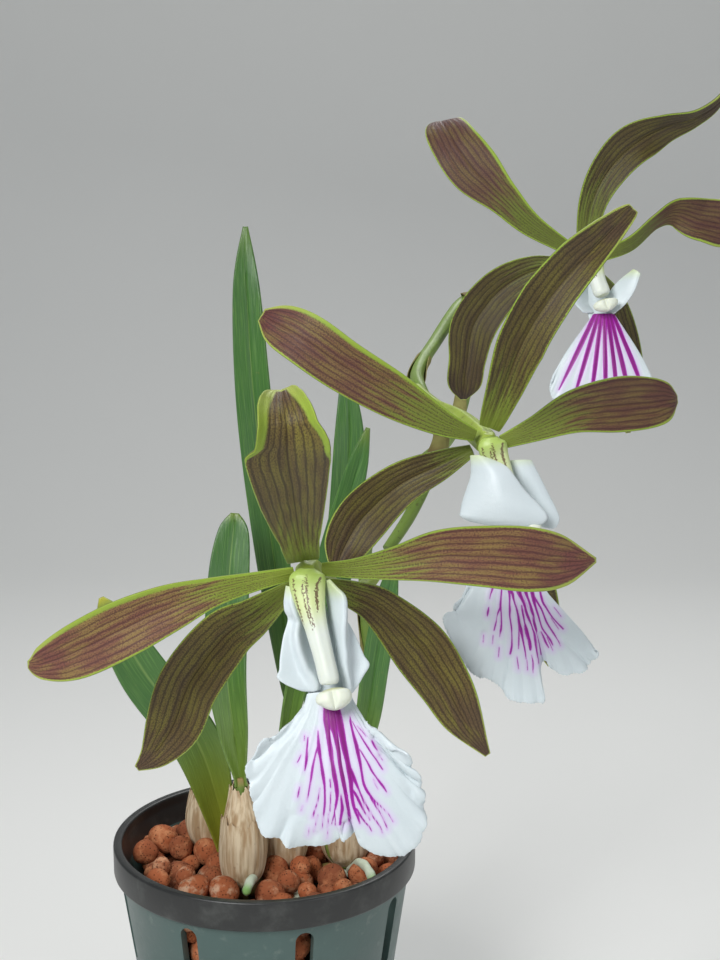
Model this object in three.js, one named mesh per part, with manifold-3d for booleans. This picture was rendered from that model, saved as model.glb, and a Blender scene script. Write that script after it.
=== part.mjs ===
// Potted orchid in flower: a round pot of clay pebbles, pseudobulbs with strap leaves,
// and an arching scape with three flowers. Millimetres, +Z up. The origin is the centre
// of the pot's underside, the front is towards -Y.
import * as THREE from 'three';
import { mergeVertices } from 'three/addons/utils/BufferGeometryUtils.js';
import Module from 'manifold-3d';

const wasm = await Module();
wasm.setup();

// Pot
const POT_HEIGHT = 60;
const RIM_RADIUS = 31;
const BASE_RADIUS = 22;
const WALL = 1.8;
const FLOOR = 2.4;
const COLLAR_HEIGHT = 6;
const COLLAR_STEP = 1.2;
const FOOT_CHAMFER = 0.8;
const RIM_CHAMFER = 0.6;
const MOUTH_CHAMFER = 0.4;
const POT_SIDES = 36;
const SLOT_COUNT = 8;
const SLOT_WIDTH = 3.6;
const SLOT_FLOOR = 37;
const SLOT_TOP = 52.5;
const SLOT_FIRST_ANGLE = -72;
const SLOT_CUT_DEPTH = 10;
const DRAIN_COUNT = 4;
const DRAIN_RADIUS = 2.5;
const DRAIN_RING = 13;
const DRAIN_FIRST_ANGLE = 45;
const DRAIN_SIDES = 16;

// Growing medium
const GAP = 0.3;
const ROOT_CLEARANCE = 1.2 * GAP;
const BULB_CLEARANCE = 1.3 * GAP;
const MEDIUM_TOP = 51;
const MEDIUM_SIDES = 30;
const PEBBLE_RADIUS = 3.6;
const PEBBLE_SMALLEST = 0.88;
const PEBBLE_SPREAD = 0.2;
const PEBBLE_LIFT = 1;
const PEBBLE_LIFT_SPREAD = 1.6;
const PEBBLE_SHAPE = [1.05, 0.95, 0.9];
const PEBBLE_RINGS = [[23.6, 17], [17, 12], [10.4, 7]];

// Blades
const TEPAL_THICKNESS = 0.8;
const LIP_THICKNESS = 0.8;
const LEAF_THICKNESS = 1.1;

// Middle lobe of each lip: its rays, its steps outwards, and the waves round its margin
const FAN_RAYS = 24;
const FAN_STEPS = 6;
const RUFFLE_HEIGHT = 0.7;
const RUFFLES = 5.5;

// The flowers' centres, and the tilt that turns a flower's own z towards the viewer
const FLOWER_TILT = 78;
const FLOWER_CENTRES = {
  front: [13.3, -124, 149.7],
  middle: [36.2, -106, 162.3],
  rear: [54.9, -60.9, 182.2],
};

const COLOURS = {
  pot: 0x46605c,
  clay: 0xb06a3c,
  root: 0xb9c9a8,
  bulb: 0x6f8a3a,
  leaf: 0x2f6b1c,
  stem: 0x6f8f35,
  sepal: 0x6e5530,
  petal: 0x7d4f45,
  lip: 0xeef0f6,
  column: 0xd9e2a0,
  anther: 0xf3ecd2,
};

const TOWARDS_VIEWER = new THREE.Vector3(0, 0, 1);
const SAMPLE_STEP = 0.01;
const MERGE_DISTANCE = 1e-4;

function radians(degrees) {
  return degrees * Math.PI / 180;
}

// One step of Catmull-Rom between the second and third of four values
function between(before, from, to, after, t) {
  const slopeFrom = (to - before) / 2;
  const slopeTo = (after - from) / 2;
  const t2 = t * t;
  const t3 = t2 * t;
  return (2 * t3 - 3 * t2 + 1) * from + (t3 - 2 * t2 + t) * slopeFrom
    + (3 * t2 - 2 * t3) * to + (t3 - t2) * slopeTo;
}

// A smooth row of values at v = 0..1 along a list of stations, each a list of numbers
function sample(stations, v) {
  const last = stations.length - 1;
  const place = Math.min(Math.max(v, 0), 1) * last;
  const index = Math.min(Math.floor(place), last - 1);
  const pick = (i) => stations[Math.min(Math.max(i, 0), last)];
  const [a, b, c, d] = [pick(index - 1), pick(index), pick(index + 1), pick(index + 2)];
  return b.map((value, k) => between(a[k], value, c[k], d[k], place - index));
}

// Where a midrib is at v, which way it runs, and its sideways and outward directions.
// Stations start with x, y, z.
function frameAt(stations, v, facing) {
  const here = sample(stations, v);
  const ahead = sample(stations, v + SAMPLE_STEP);
  const behind = sample(stations, v - SAMPLE_STEP);
  const along = new THREE.Vector3(ahead[0] - behind[0], ahead[1] - behind[1], ahead[2] - behind[2]);
  along.normalize();
  const side = along.clone().cross(facing).normalize();
  const outward = side.clone().cross(along);
  return { here, at: new THREE.Vector3(here[0], here[1], here[2]), along, side, outward };
}

function geometryFrom(positions, triangles) {
  const geometry = new THREE.BufferGeometry();
  geometry.setAttribute('position', new THREE.Float32BufferAttribute(positions, 3));
  geometry.setIndex(triangles);
  return geometry;
}

// Closed sheet between two grids of points, split alike on both faces
function sheetBetween(front, back) {
  const rows = front.length;
  const columns = front[0].length;
  const positions = [];
  for (const grid of [front, back]) {
    for (const row of grid) {
      for (const point of row) {
        positions.push(point.x, point.y, point.z);
      }
    }
  }
  const under = rows * columns;
  const triangles = [];
  for (let j = 0; j < rows - 1; j += 1) {
    for (let i = 0; i < columns - 1; i += 1) {
      const a = j * columns + i;
      const b = a + 1;
      const c = b + columns;
      const d = a + columns;
      triangles.push(a, b, c, a, c, d);
      triangles.push(under + a, under + c, under + b, under + a, under + d, under + c);
    }
  }
  const wall = (a, b) => triangles.push(b, a, under + a, b, under + a, under + b);
  for (let i = 0; i < columns - 1; i += 1) {
    wall(i, i + 1);
    wall((rows - 1) * columns + i + 1, (rows - 1) * columns + i);
  }
  for (let j = 0; j < rows - 1; j += 1) {
    wall((j + 1) * columns, j * columns);
    wall((j + 1) * columns - 1, (j + 2) * columns - 1);
  }
  return geometryFrom(positions, triangles);
}

// Blade along a midrib. Each station is x, y, z, half width, cup angle and roll angle:
// the cup lifts both margins towards the face, the roll turns the blade about its midrib.
function blade(stations, shape) {
  const { across, steps, thickness, facing = TOWARDS_VIEWER } = shape;
  const front = [];
  const back = [];
  for (let j = 0; j <= steps; j += 1) {
    const v = j / steps;
    const { here, at, along, side, outward } = frameAt(stations, v, facing);
    const [, , , halfWidth, cup, roll] = here;
    side.applyAxisAngle(along, radians(roll));
    outward.applyAxisAngle(along, radians(roll));
    const frontRow = [];
    const backRow = [];
    for (let i = 0; i <= across; i += 1) {
      const u = 2 * i / across - 1;
      const rise = halfWidth * u * u * Math.tan(radians(cup));
      const middle = at.clone().addScaledVector(side, u * halfWidth).addScaledVector(outward, rise);
      frontRow.push(middle.clone().addScaledVector(outward, thickness / 2));
      backRow.push(middle.clone().addScaledVector(outward, -thickness / 2));
    }
    front.push(frontRow);
    back.push(backRow);
  }
  return sheetBetween(front, back);
}

// Round or oval rod along a line. Each station is x, y, z, sideways radius, depth radius.
function rod(stations, { sides, steps, facing = TOWARDS_VIEWER }) {
  const positions = [];
  const triangles = [];
  for (let j = 0; j <= steps; j += 1) {
    const { here, at, side, outward } = frameAt(stations, j / steps, facing);
    for (let i = 0; i < sides; i += 1) {
      const angle = 2 * Math.PI * i / sides;
      const point = at.clone().addScaledVector(side, here[3] * Math.cos(angle));
      point.addScaledVector(outward, here[4] * Math.sin(angle));
      positions.push(point.x, point.y, point.z);
    }
  }
  for (let j = 0; j < steps; j += 1) {
    for (let i = 0; i < sides; i += 1) {
      const a = j * sides + i;
      const b = j * sides + (i + 1) % sides;
      triangles.push(a, a + sides, b, b, a + sides, b + sides);
    }
  }
  const start = sample(stations, 0);
  const end = sample(stations, 1);
  const startHub = positions.push(start[0], start[1], start[2]) / 3 - 1;
  const endHub = positions.push(end[0], end[1], end[2]) / 3 - 1;
  for (let i = 0; i < sides; i += 1) {
    const next = (i + 1) % sides;
    triangles.push(startHub, i, next);
    triangles.push(endHub, steps * sides + next, steps * sides + i);
  }
  return geometryFrom(positions, triangles);
}

// Fan-shaped middle lobe of a lip. Rays run from the neck's line to the margin's points,
// the first of them at the right side, round the bottom, to the left side. The waists draw
// the right and the left side in half way down.
function middleLobe({ neck, margin, waists, bulge, across, steps }) {
  const front = [];
  const back = [];
  const [right, left] = neck;
  for (let j = 0; j <= steps; j += 1) {
    const v = j / steps;
    const frontRow = [];
    const backRow = [];
    for (let i = 0; i <= across; i += 1) {
      const s = i / across;
      const [edgeX, edgeY, edgeZ] = sample(margin, s);
      const sway = 2 * s - 1;
      const x = THREE.MathUtils.lerp(THREE.MathUtils.lerp(right[0], left[0], s), edgeX, v);
      const y = THREE.MathUtils.lerp(THREE.MathUtils.lerp(right[1], left[1], s), edgeY, v);
      const z = THREE.MathUtils.lerp(THREE.MathUtils.lerp(right[2], left[2], s), edgeZ, v);
      const arch = Math.sin(Math.PI * v);
      const waist = sway < 0 ? waists[0] : waists[1];
      const frill = RUFFLE_HEIGHT * v ** 4 * Math.sin(2 * Math.PI * RUFFLES * s);
      const point = new THREE.Vector3(x + waist * sway * arch, y, z + bulge * arch * (1 - sway ** 2) + frill);
      frontRow.push(point.clone().setZ(point.z + LIP_THICKNESS / 2));
      backRow.push(point.clone().setZ(point.z - LIP_THICKNESS / 2));
    }
    front.push(frontRow.reverse());
    back.push(backRow.reverse());
  }
  return sheetBetween(front.reverse(), back.reverse());
}

function solidOf(geometry) {
  const plain = geometry.clone();
  plain.deleteAttribute('normal');
  plain.deleteAttribute('uv');
  const merged = mergeVertices(plain, MERGE_DISTANCE);
  const mesh = new wasm.Mesh({
    numProp: 3,
    vertProperties: new Float32Array(merged.attributes.position.array),
    triVerts: new Uint32Array(merged.index.array),
  });
  mesh.merge();
  return new wasm.Manifold(mesh);
}

function geometryOf(solid) {
  const { vertProperties, triVerts } = solid.getMesh();
  return geometryFrom(Array.from(vertProperties), Array.from(triVerts));
}

// The main body of a cut solid, without loose scraps
function largestOf(solid) {
  return solid.decompose().sort((a, b) => b.volume() - a.volume())[0];
}

function joined(geometries) {
  return geometries.map(solidOf).reduce((whole, piece) => whole.add(piece));
}

function named(name, geometry, colour, roughness = 0.6) {
  const material = new THREE.MeshStandardMaterial({ color: colour, roughness, metalness: 0 });
  const mesh = new THREE.Mesh(geometry, material);
  mesh.name = name;
  return mesh;
}

// Pseudobulbs: x, y of the foot, foot height, greatest radius, height
const BULBS = [
  [-4.2, -9.4, 53.5, 4.6, 23],
  [3.9, -1.2, 53.5, 4.9, 25],
  [6.4, 12.2, 53.5, 5.4, 27],
  [16.8, 0.6, 53.5, 5.2, 24],
  [-11.2, 8.2, 53.5, 5.4, 19],
];
const BULB_SIDES = 12;

// Outline of a bulb as fractions of its greatest radius and of its height
const BULB_OUTLINE = [
  [0, 0], [0.55, 0.02], [0.86, 0.12], [1, 0.3], [0.94, 0.48], [0.74, 0.66],
  [0.48, 0.82], [0.3, 0.93], [0.22, 1], [0, 1],
];

const BULB_FOOT = 0.1;

function bulbGeometry(radius, height, grow = 0) {
  const profile = BULB_OUTLINE.map(([r, h]) => {
    const out = r === 0 ? 0 : r * radius + grow;
    const foot = h < BULB_FOOT ? grow : 0;
    const rim = h * height - foot + (h === 1 ? grow : 0);
    return new THREE.Vector2(out, rim);
  });
  return new THREE.LatheGeometry(profile, BULB_SIDES);
}

// Leaves: stations of x, y, z, half width, cup and roll. Their faces look to the viewer.
const LEAF_FACING = new THREE.Vector3(0, -1, 0);
const LEAVES = [
  [[-7.6, 1.3, 53.7, 1.3, 45, 0], [-9.2, -0.6, 66, 3, 40, 0], [-13.2, -4, 82, 5, 25, 5],
    [-22.6, -7, 97, 4.9, 20, 5], [-28.4, -9, 109, 3.1, 20, 0], [-30.6, -9.6, 113.5, 0.5, 10, 0]],
  [[-4.2, -9.2, 77, 1.2, 50, 0], [-5.4, -8.2, 86, 2.9, 35, 0], [-6.9, -5, 99, 4, 25, 0],
    [-6.4, -1, 115, 4, 18, 0], [-5.6, 1.6, 124, 3, 15, 0], [-5.3, 2.4, 127.5, 0.8, 5, 0]],
  [[5.8, 13.4, 81.2, 1.2, 50, 0], [4.4, 13, 95, 2.6, 38, 0], [1.4, 13, 118, 3.4, 28, 0],
    [-1.8, 14.6, 146, 3.6, 22, 0], [-3.4, 18, 170, 2.7, 20, 0], [-3.6, 20, 183, 0.5, 10, 0]],
  [[3.9, -1, 79, 1.1, 50, 0], [7.4, 0, 95, 2.2, 35, 0], [13.4, 2, 117, 2.7, 25, 0],
    [18.6, 3.4, 135, 2.2, 20, 0], [21.2, 4, 144.5, 0.4, 10, 0]],
  [[8.6, 12.6, 80.8, 1.1, 50, 0], [11.6, 13.6, 95, 2.4, 35, 0], [16, 16, 120, 3.2, 25, 0],
    [17.4, 18, 140, 3, 20, 0], [16.4, 20, 155, 0.6, 10, 0]],
  [[18, -0.6, 77.9, 1, 50, 0], [20.8, -4.8, 86, 2.2, 35, 0], [22.6, -7.6, 99, 2.6, 25, 0],
    [24.6, -9, 112, 2.2, 20, 0], [26.4, -9.6, 122, 0.5, 10, 0]],
];

// Scape from the top of the fourth pseudobulb to the front flower's joint
const SCAPE = [
  [16.4, 1.4, 78.3, 1.4, 1.4], [18, 1, 83, 1.5, 1.5], [21.4, -1.2, 92, 1.4, 1.4],
  [21, -1.6, 108, 1.4, 1.4], [20.8, -2.2, 122, 1.35, 1.35], [24.4, -7.2, 132.2, 1.3, 1.3],
  [30.6, -15.4, 140.8, 1.25, 1.25], [35.8, -22.4, 147.6, 1.2, 1.2], [38.4, -26.8, 157, 1.2, 1.2],
  [39.6, -29.8, 168, 1.15, 1.15], [38.8, -37, 173.6, 1.1, 1.1], [35.8, -46, 173.6, 1.1, 1.1],
  [31.6, -57, 169.4, 1.05, 1.05], [28.4, -69, 166.4, 1, 1], [28.6, -77.6, 164.6, 1, 1],
  [31.4, -81.6, 159.6, 0.95, 0.95], [29.8, -84.6, 154, 0.9, 0.9],
  [26.8, -88.6, 148.6, 0.9, 0.9], [23.5, -92.4, 144.4, 0.8, 0.8],
];
const SCAPE_FACING = new THREE.Vector3(1, 0.3, 0);

// Each flower in its own axes: x to the right, y up the picture, z towards the viewer.
// Tepals are stations of x, y, z, half width, cup and roll.
const FLOWERS = {
  front: {
    dorsal_sepal: [[-0.4, 1.7, 0.2, 1.5, 10, 0], [-0.8, 4.3, 6, 2.5, 15, 0], [-1.1, 8.9, 14, 3.7, 15, 0],
      [-1.6, 13.6, 20, 4.6, 12, 0], [-1.7, 17.1, 22, 3.8, 12, 0], [-2.1, 19.7, 20, 2.5, 15, 0],
      [-2.4, 21.1, 18, 0.4, 5, 0]],
    left_petal: [[-1.7, -0.1, 1.1, 0.8, 5, 0], [-6.8, -1.1, 3, 1.2, 10, 0], [-11.4, -2.2, 5, 1.8, 12, 0],
      [-16.1, -3.9, 6, 2.8, 14, 0], [-21.7, -6.4, 6, 3.4, 14, 0], [-27.6, -9.3, 4, 3.2, 12, 0],
      [-31.9, -10.9, 2, 2, 8, 0], [-33.8, -11.1, 1, 0.4, 0, 0]],
    left_sepal: [[-1.7, -1.7, -1, 0.8, 10, 0], [-6.6, -5.5, -2, 2.4, 18, 0], [-10.4, -8.2, -3, 3.4, 18, 0],
      [-14.8, -14, -5, 3.8, 18, 0], [-17.1, -19.6, -7, 3.5, 15, 0], [-19.4, -23.2, -8, 2.1, 12, 0],
      [-22, -25.4, -9, 0.4, 0, 0]],
    right_petal: [[1.8, 0.4, 1.1, 0.8, 5, 0], [5.7, 0.6, 3, 1.2, 10, 0], [10.5, 1.3, 5, 2, 10, 0],
      [15.7, 2.2, 6, 3.1, 12, 0], [21, 2.2, 6, 3.6, 12, 0], [26.4, 1.8, 5, 3.8, 10, 0],
      [30.8, 1.4, 3, 2.9, 8, 0], [34.8, 1.5, 1, 0.3, 0, 0]],
    right_sepal: [[1.7, -1.5, -1, 0.8, 10, 0], [5.3, -2.8, -2, 1.7, 15, 0], [8.8, -4.6, -3, 2.5, 18, 0],
      [13.4, -9.3, -5, 3.6, 20, 0], [16.8, -14.2, -6, 3.3, 18, 0], [19.2, -18.7, -7, 2.5, 15, 0],
      [22.5, -23.7, -9, 0.4, 0, 0]],
    column: [[0, 0.6, 3, 0.9, 0.6], [0, -0.3, 3, 2.1, 1.2], [0.1, -2, 3.2, 2.1, 1.3],
      [0.6, -4.4, 4, 1.8, 1.3], [1.3, -7, 4.8, 1.6, 1.2], [2.1, -10, 5.6, 1.45, 1.2],
      [2.7, -12.4, 6.2, 1.4, 1.2], [2.8, -12.9, 6.3, 0.8, 0.7]],
    anther_cap: [[3, -13.3, 6.2, 0.7, 0.6], [3.1, -13.8, 6.3, 1.5, 1.1], [3.3, -14.8, 6.6, 1.6, 1.2],
      [3.4, -15.8, 6.9, 0.8, 0.7]],
    claw: [[0.1, -2.1, 0.6, 1.4, 5, 0], [0.5, -5.4, 1, 2, 15, 0], [1.4, -10, 2, 2.3, 20, 0],
      [2.6, -14.6, 3.6, 2.3, 10, 0]],
    lobes: [
      [[-1.5, -2.8, 2, 0.8, 0, -35], [-1.7, -5.6, 2.2, 1.4, 0, -30], [-1.6, -9.6, 2.8, 1.9, 0, -25],
        [-1.2, -12.4, 3.6, 1.9, 0, -15], [-0.4, -14.4, 4, 0.9, 0, 0]],
      [[2.8, -2.8, 2, 0.9, -10, 25], [3.7, -5.6, 2.6, 1.6, -20, 15], [4.6, -9.6, 3.4, 2.5, -25, 0],
        [4.9, -12.2, 4, 2.3, -20, 0], [4.2, -14.4, 4.2, 1, 0, 0]],
    ],
    neck: [[5, -14.2, 4], [0.2, -14.2, 4]],
    margin: [[12.2, -21, 5.4], [14, -24, 5.8], [14.6, -27, 6], [14, -30.4, 5.9], [12.2, -32.7, 5.6],
      [9.6, -33.2, 5.2], [7, -32.4, 5], [5.6, -29.9, 5], [3.6, -31, 5], [0.8, -31.8, 5],
      [-2.6, -32.2, 5.2], [-5, -30.6, 5.6], [-6.4, -27.6, 6], [-7, -24.8, 6], [-7, -21.8, 5.4]],
    waists: [1.3, 0.9],
    bulge: 1.6,
    ovary: [[0, 0, 1.2, 0.5, 0.5], [0, 0, 0.6, 1.05, 1.05], [0, 0, -0.6, 1.5, 1.5],
      [0.2, 0, -3, 1.5, 1.5], [1.5, -1.6, -9.6, 1.4, 1.4], [4, -3.8, -18, 1.2, 1.2],
      [7.2, -3.2, -26, 1, 1], [9.8, 0.2, -32, 0.9, 0.9]],
  },
  middle: {
    dorsal_sepal: [[0.3, 2, 0.2, 1.4, 10, 0], [1.9, 6.6, 3, 2.3, 25, 0], [3.9, 12.2, 6, 3.2, 28, 0],
      [7, 17.4, 8, 3.6, 28, 0], [10.8, 22, 8, 3.3, 25, 0], [14.7, 26, 6, 2.4, 22, 0],
      [18.4, 29.9, 4, 0.4, 0, 0]],
    left_petal: [[-1.7, 0.9, 1.1, 0.8, 5, 0], [-6.3, 2.6, 3, 1.8, 10, 0], [-12.1, 5.7, 5, 2.9, 10, 0],
      [-18.5, 9.4, 6, 3.3, 12, 0], [-23.5, 12.9, 6, 3.4, 12, 0], [-27, 15, 4, 2.7, 10, 0],
      [-29.3, 16.4, 2, 0.9, 0, 0]],
    left_sepal: [[-1.9, -1, -1, 0.8, 10, 0], [-6, -2.9, -2, 2, 15, 0], [-11.3, -5.5, -3, 2.9, 18, 0],
      [-15.9, -9.6, -5, 3.5, 20, 0], [-18.6, -13.7, -5, 2.9, 15, 0], [-20, -17.5, -5.4, 0.4, 0, 0]],
    right_petal: [[1.8, 0, 1, 0.9, 5, 0], [6.3, 1.8, 0, 1.7, 10, 0], [11.7, 4.1, -2, 2.9, 14, 0],
      [17.5, 5.1, -5, 3.7, 14, 0], [22.7, 5.6, -8, 3.4, 10, 0], [25.4, 6, -10, 2.4, 10, 0],
      [27, 6.2, -11.6, 0.5, 0, 0]],
    right_sepal: [[1.2, -1.9, -1.4, 0.8, 10, 0], [2.8, -7.6, -5, 2.1, 20, 0], [5.1, -14.4, -8, 3, 22, 0],
      [7.4, -21.4, -11, 3, 22, 0], [9.1, -27.2, -14, 1.9, 18, 0], [10.1, -30.9, -16, 0.4, 0, 0]],
    column: [[0.3, 0.6, 2.9, 0.9, 0.6], [0.4, -0.3, 2.7, 1.8, 1.1], [0.9, -2, 2.5, 1.8, 1.1],
      [2, -4.4, 3.05, 1.5, 1.1], [3.1, -7, 3.7, 1.3, 1.05], [4, -9.4, 4.2, 1.3, 1.1],
      [4.3, -10, 4.2, 0.8, 0.7]],
    anther_cap: [[4.5, -10.5, 4.3, 0.7, 0.6], [4.7, -10.9, 4.4, 1.3, 1], [5.1, -11.7, 4.6, 1.3, 1],
      [5.5, -12.5, 4.8, 0.8, 0.7]],
    claw: [[0.3, -1.9, 0.4, 1.2, 5, 0], [1.3, -5, 0.5, 2, 15, 0], [2.4, -9, 1, 2.4, 20, 0],
      [3.4, -13, 2.2, 2.4, 10, 0]],
    lobes: [
      [[-1.3, -2.5, 3.8, 0.9, 0, 20], [-0.6, -4.6, 4.8, 1.9, 0, 22], [0.6, -7.2, 5.6, 3.4, 0, 22],
        [2.2, -9.4, 6.2, 4.9, 0, 18], [2.4, -10.3, 6, 4.2, 0, 18]],
      [[3.4, -2.6, 1, 1.2, 0, -15], [4.9, -4.8, 1, 1.9, 0, -15], [6.4, -8, 1.2, 1.9, 0, -15],
        [7.7, -10.9, 1.8, 1.2, 0, -20]],
    ],
    bridge: [[-1.2, -2.6, 1.9, 1.3, 0, -60], [-1.5, -5, 2.6, 2.1, 0, -60], [-1.6, -7.2, 3, 2.5, 0, -60],
      [-1.5, -9.6, 3.2, 2.5, 0, -60]],
    neck: [[5.8, -12.6, 2.6], [0.8, -12.6, 2.6]],
    margin: [[13.3, -26.3, 4.4], [12.6, -28.2, 4.9], [10, -29.5, 5], [7.9, -28.6, 4.8], [6.8, -28, 4.6],
      [6.2, -30.6, 4.8], [5.8, -32.8, 5], [3.4, -33.2, 5.2], [1, -31, 5.2], [-2, -29.6, 5.2],
      [-3.6, -26.8, 5.2], [-5, -24.6, 5], [-5.9, -22.2, 4.6]],
    waists: [1.4, 0.2],
    bulge: 1.4,
    ovary: [[0, 0, 1.2, 0.5, 0.5], [0, 0, 0.6, 1.05, 1.05], [-0.1, 0.1, -0.6, 1.5, 1.5],
      [-0.8, 1, -3.4, 1.5, 1.5],
      [-3, 3.4, -10, 1.35, 1.35], [-6, 5.4, -17, 1.15, 1.15], [-8.4, 8.2, -24.4, 0.95, 0.95]],
  },
  rear: {
    dorsal_sepal: [[-0.5, 2.2, 0.2, 1.4, 10, 0], [0.3, 8.6, 2, 2.1, 25, 0], [2.6, 13.4, 3, 2.8, 25, 0],
      [6.3, 17.3, 3, 3.1, 22, 0], [11.1, 20.3, 2, 2.5, 20, 40], [15.9, 22.1, 1, 1.8, 18, 55],
      [19.3, 24.1, 1, 1.4, 10, 55], [21.8, 27.1, 2, 0.4, 0, 55]],
    left_petal: [[-1.6, 1, 1.1, 0.8, 5, 0], [-9, 5.1, 3, 1.8, 10, 0], [-13.5, 9.1, 4, 2.6, 10, 0],
      [-17.6, 13.2, 4, 3.9, 5, 0], [-20.6, 17.5, 3, 3.8, 0, 0], [-22.4, 21.2, 0, 3, 0, 0],
      [-22.6, 22.3, -5, 0.5, 0, 0]],
    left_sepal: [[-1.9, -0.4, -1, 0.8, 10, 0], [-8, -1.1, -2, 2.3, 15, 0], [-13.4, -4.1, -3, 3.3, 18, 0],
      [-17.4, -9.4, -4, 3.6, 18, 0], [-18.4, -14.8, -5, 2.9, 15, 0], [-18.8, -18.7, -6, 2.6, 10, 0],
      [-18.9, -21, -7, 0.5, 0, 0]],
    right_petal: [[1.9, 0.7, 1, 0.8, 5, 0], [6.5, 2.9, 0, 1.3, 8, 40], [10.5, 6.5, -1, 1.6, 10, 50],
      [13.8, 8.1, -2, 2.4, 10, 35], [17.9, 7, -3, 3.4, 10, 0], [22.1, 6.3, -4, 3.5, 5, 0],
      [25.9, 5.8, -5, 0.5, 0, 0]],
    right_sepal: [[1.6, -1.8, -1.4, 0.8, 10, 0], [4.6, -5.6, -7, 2.2, 18, 0], [6.4, -11.2, -10, 3, 20, 0],
      [7.4, -17, -12.4, 3.2, 20, 0], [8.2, -22, -14.4, 2.3, 18, 0], [8.8, -26, -16, 0.4, 0, 0]],
    column: [[0.1, 0.4, 3.1, 0.9, 0.6], [0.2, -0.4, 3.1, 1.7, 1.2], [0.5, -1.8, 3.2, 1.6, 1.2],
      [1, -3.6, 3.7, 1.4, 1.2], [1.5, -5.2, 4.2, 1.4, 1.2], [1.7, -5.8, 4.4, 0.8, 0.7]],
    anther_cap: [[1.8, -6.3, 4.6, 0.7, 0.6], [1.9, -6.7, 4.7, 1.4, 1], [2.1, -7.4, 4.9, 1.4, 1],
      [2.3, -8.1, 5.1, 0.7, 0.6]],
    claw: [[0.1, -1.9, 0.5, 1.2, 5, 0], [0.5, -3.8, 0.7, 1.8, 15, 0], [1.2, -6, 1.2, 2.1, 18, 0],
      [1.9, -8.8, 2.4, 2.1, 10, 0]],
    lobes: [
      [[-1.3, -2.4, 1.6, 0.9, 0, 30], [-1.8, -4.4, 2, 1.5, 0, 30], [-1.6, -6.6, 2.4, 1.6, 0, 20],
        [-0.6, -8.4, 2.8, 0.9, 0, 0]],
      [[6.9, -2.2, 3.6, 0.6, 0, 40], [5.6, -4.2, 3, 1.1, 0, 40], [4, -6.2, 2.4, 1.4, 0, 40],
        [2.2, -7.8, 2, 1.2, 0, 30]],
    ],
    neck: [[3.6, -8.4, 2.8], [0.4, -8.4, 2.8]],
    margin: [[6.9, -14.1, 4], [9, -18.4, 4.6], [9.6, -21.4, 5], [8, -24, 5], [5, -25.2, 4.8],
      [2.8, -23.4, 4.6], [0.4, -24.8, 4.8], [-3, -24.2, 5], [-5.6, -22, 5], [-6.6, -19.6, 4.6],
      [-4.2, -15, 4]],
    waists: [0.3, 0.4],
    bulge: 1.2,
    ovary: [[0, 0, 1.2, 0.5, 0.5], [0, 0, 0.6, 1.05, 1.05], [-0.1, 0, -0.6, 1.5, 1.5],
      [-0.6, -0.2, -3.8, 1.5, 1.5],
      [-4.2, -0.8, -11.6, 1.35, 1.35], [-11, -1.6, -18.6, 1.15, 1.15], [-14.9, -2, -23.2, 0.95, 0.95]],
  },
};
const TEPALS = ['dorsal_sepal', 'left_sepal', 'right_sepal', 'left_petal', 'right_petal'];

function potGeometry() {
  const foot = BASE_RADIUS;
  const underCollar = POT_HEIGHT - COLLAR_HEIGHT;
  const bodyTop = RIM_RADIUS - COLLAR_STEP;
  const profile = [
    [0, 0], [foot - FOOT_CHAMFER, 0], [foot, FOOT_CHAMFER], [bodyTop, underCollar],
    [RIM_RADIUS, underCollar + RIM_CHAMFER], [RIM_RADIUS, POT_HEIGHT - RIM_CHAMFER],
    [RIM_RADIUS - RIM_CHAMFER, POT_HEIGHT], [RIM_RADIUS - WALL + MOUTH_CHAMFER, POT_HEIGHT],
    [RIM_RADIUS - WALL, POT_HEIGHT - MOUTH_CHAMFER], [bodyTop - WALL, underCollar], [foot - WALL, FLOOR],
    [0, FLOOR],
  ].map(([r, h]) => new THREE.Vector2(r, h));
  let solid = solidOf(turnedUp(new THREE.LatheGeometry(profile, POT_SIDES)));
  for (let k = 0; k < DRAIN_COUNT; k += 1) {
    const angle = radians(DRAIN_FIRST_ANGLE + 360 * k / DRAIN_COUNT);
    const drill = new THREE.CylinderGeometry(DRAIN_RADIUS, DRAIN_RADIUS, 4 * FLOOR, DRAIN_SIDES);
    drill.rotateX(Math.PI / 2);
    drill.translate(DRAIN_RING * Math.cos(angle), DRAIN_RING * Math.sin(angle), FLOOR / 2);
    solid = solid.subtract(solidOf(drill));
  }
  for (let k = 0; k < SLOT_COUNT; k += 1) {
    const cutter = new THREE.BoxGeometry(SLOT_CUT_DEPTH, SLOT_WIDTH, SLOT_TOP - SLOT_FLOOR);
    cutter.translate(RIM_RADIUS - WALL, 0, (SLOT_TOP + SLOT_FLOOR) / 2);
    cutter.rotateZ(radians(SLOT_FIRST_ANGLE + 360 * k / SLOT_COUNT));
    solid = solid.subtract(solidOf(cutter));
  }
  return geometryOf(solid);
}

// A lathe turns about y, so its shape is stood up along z
function turnedUp(geometry) {
  geometry.rotateX(Math.PI / 2);
  return geometry;
}

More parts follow.
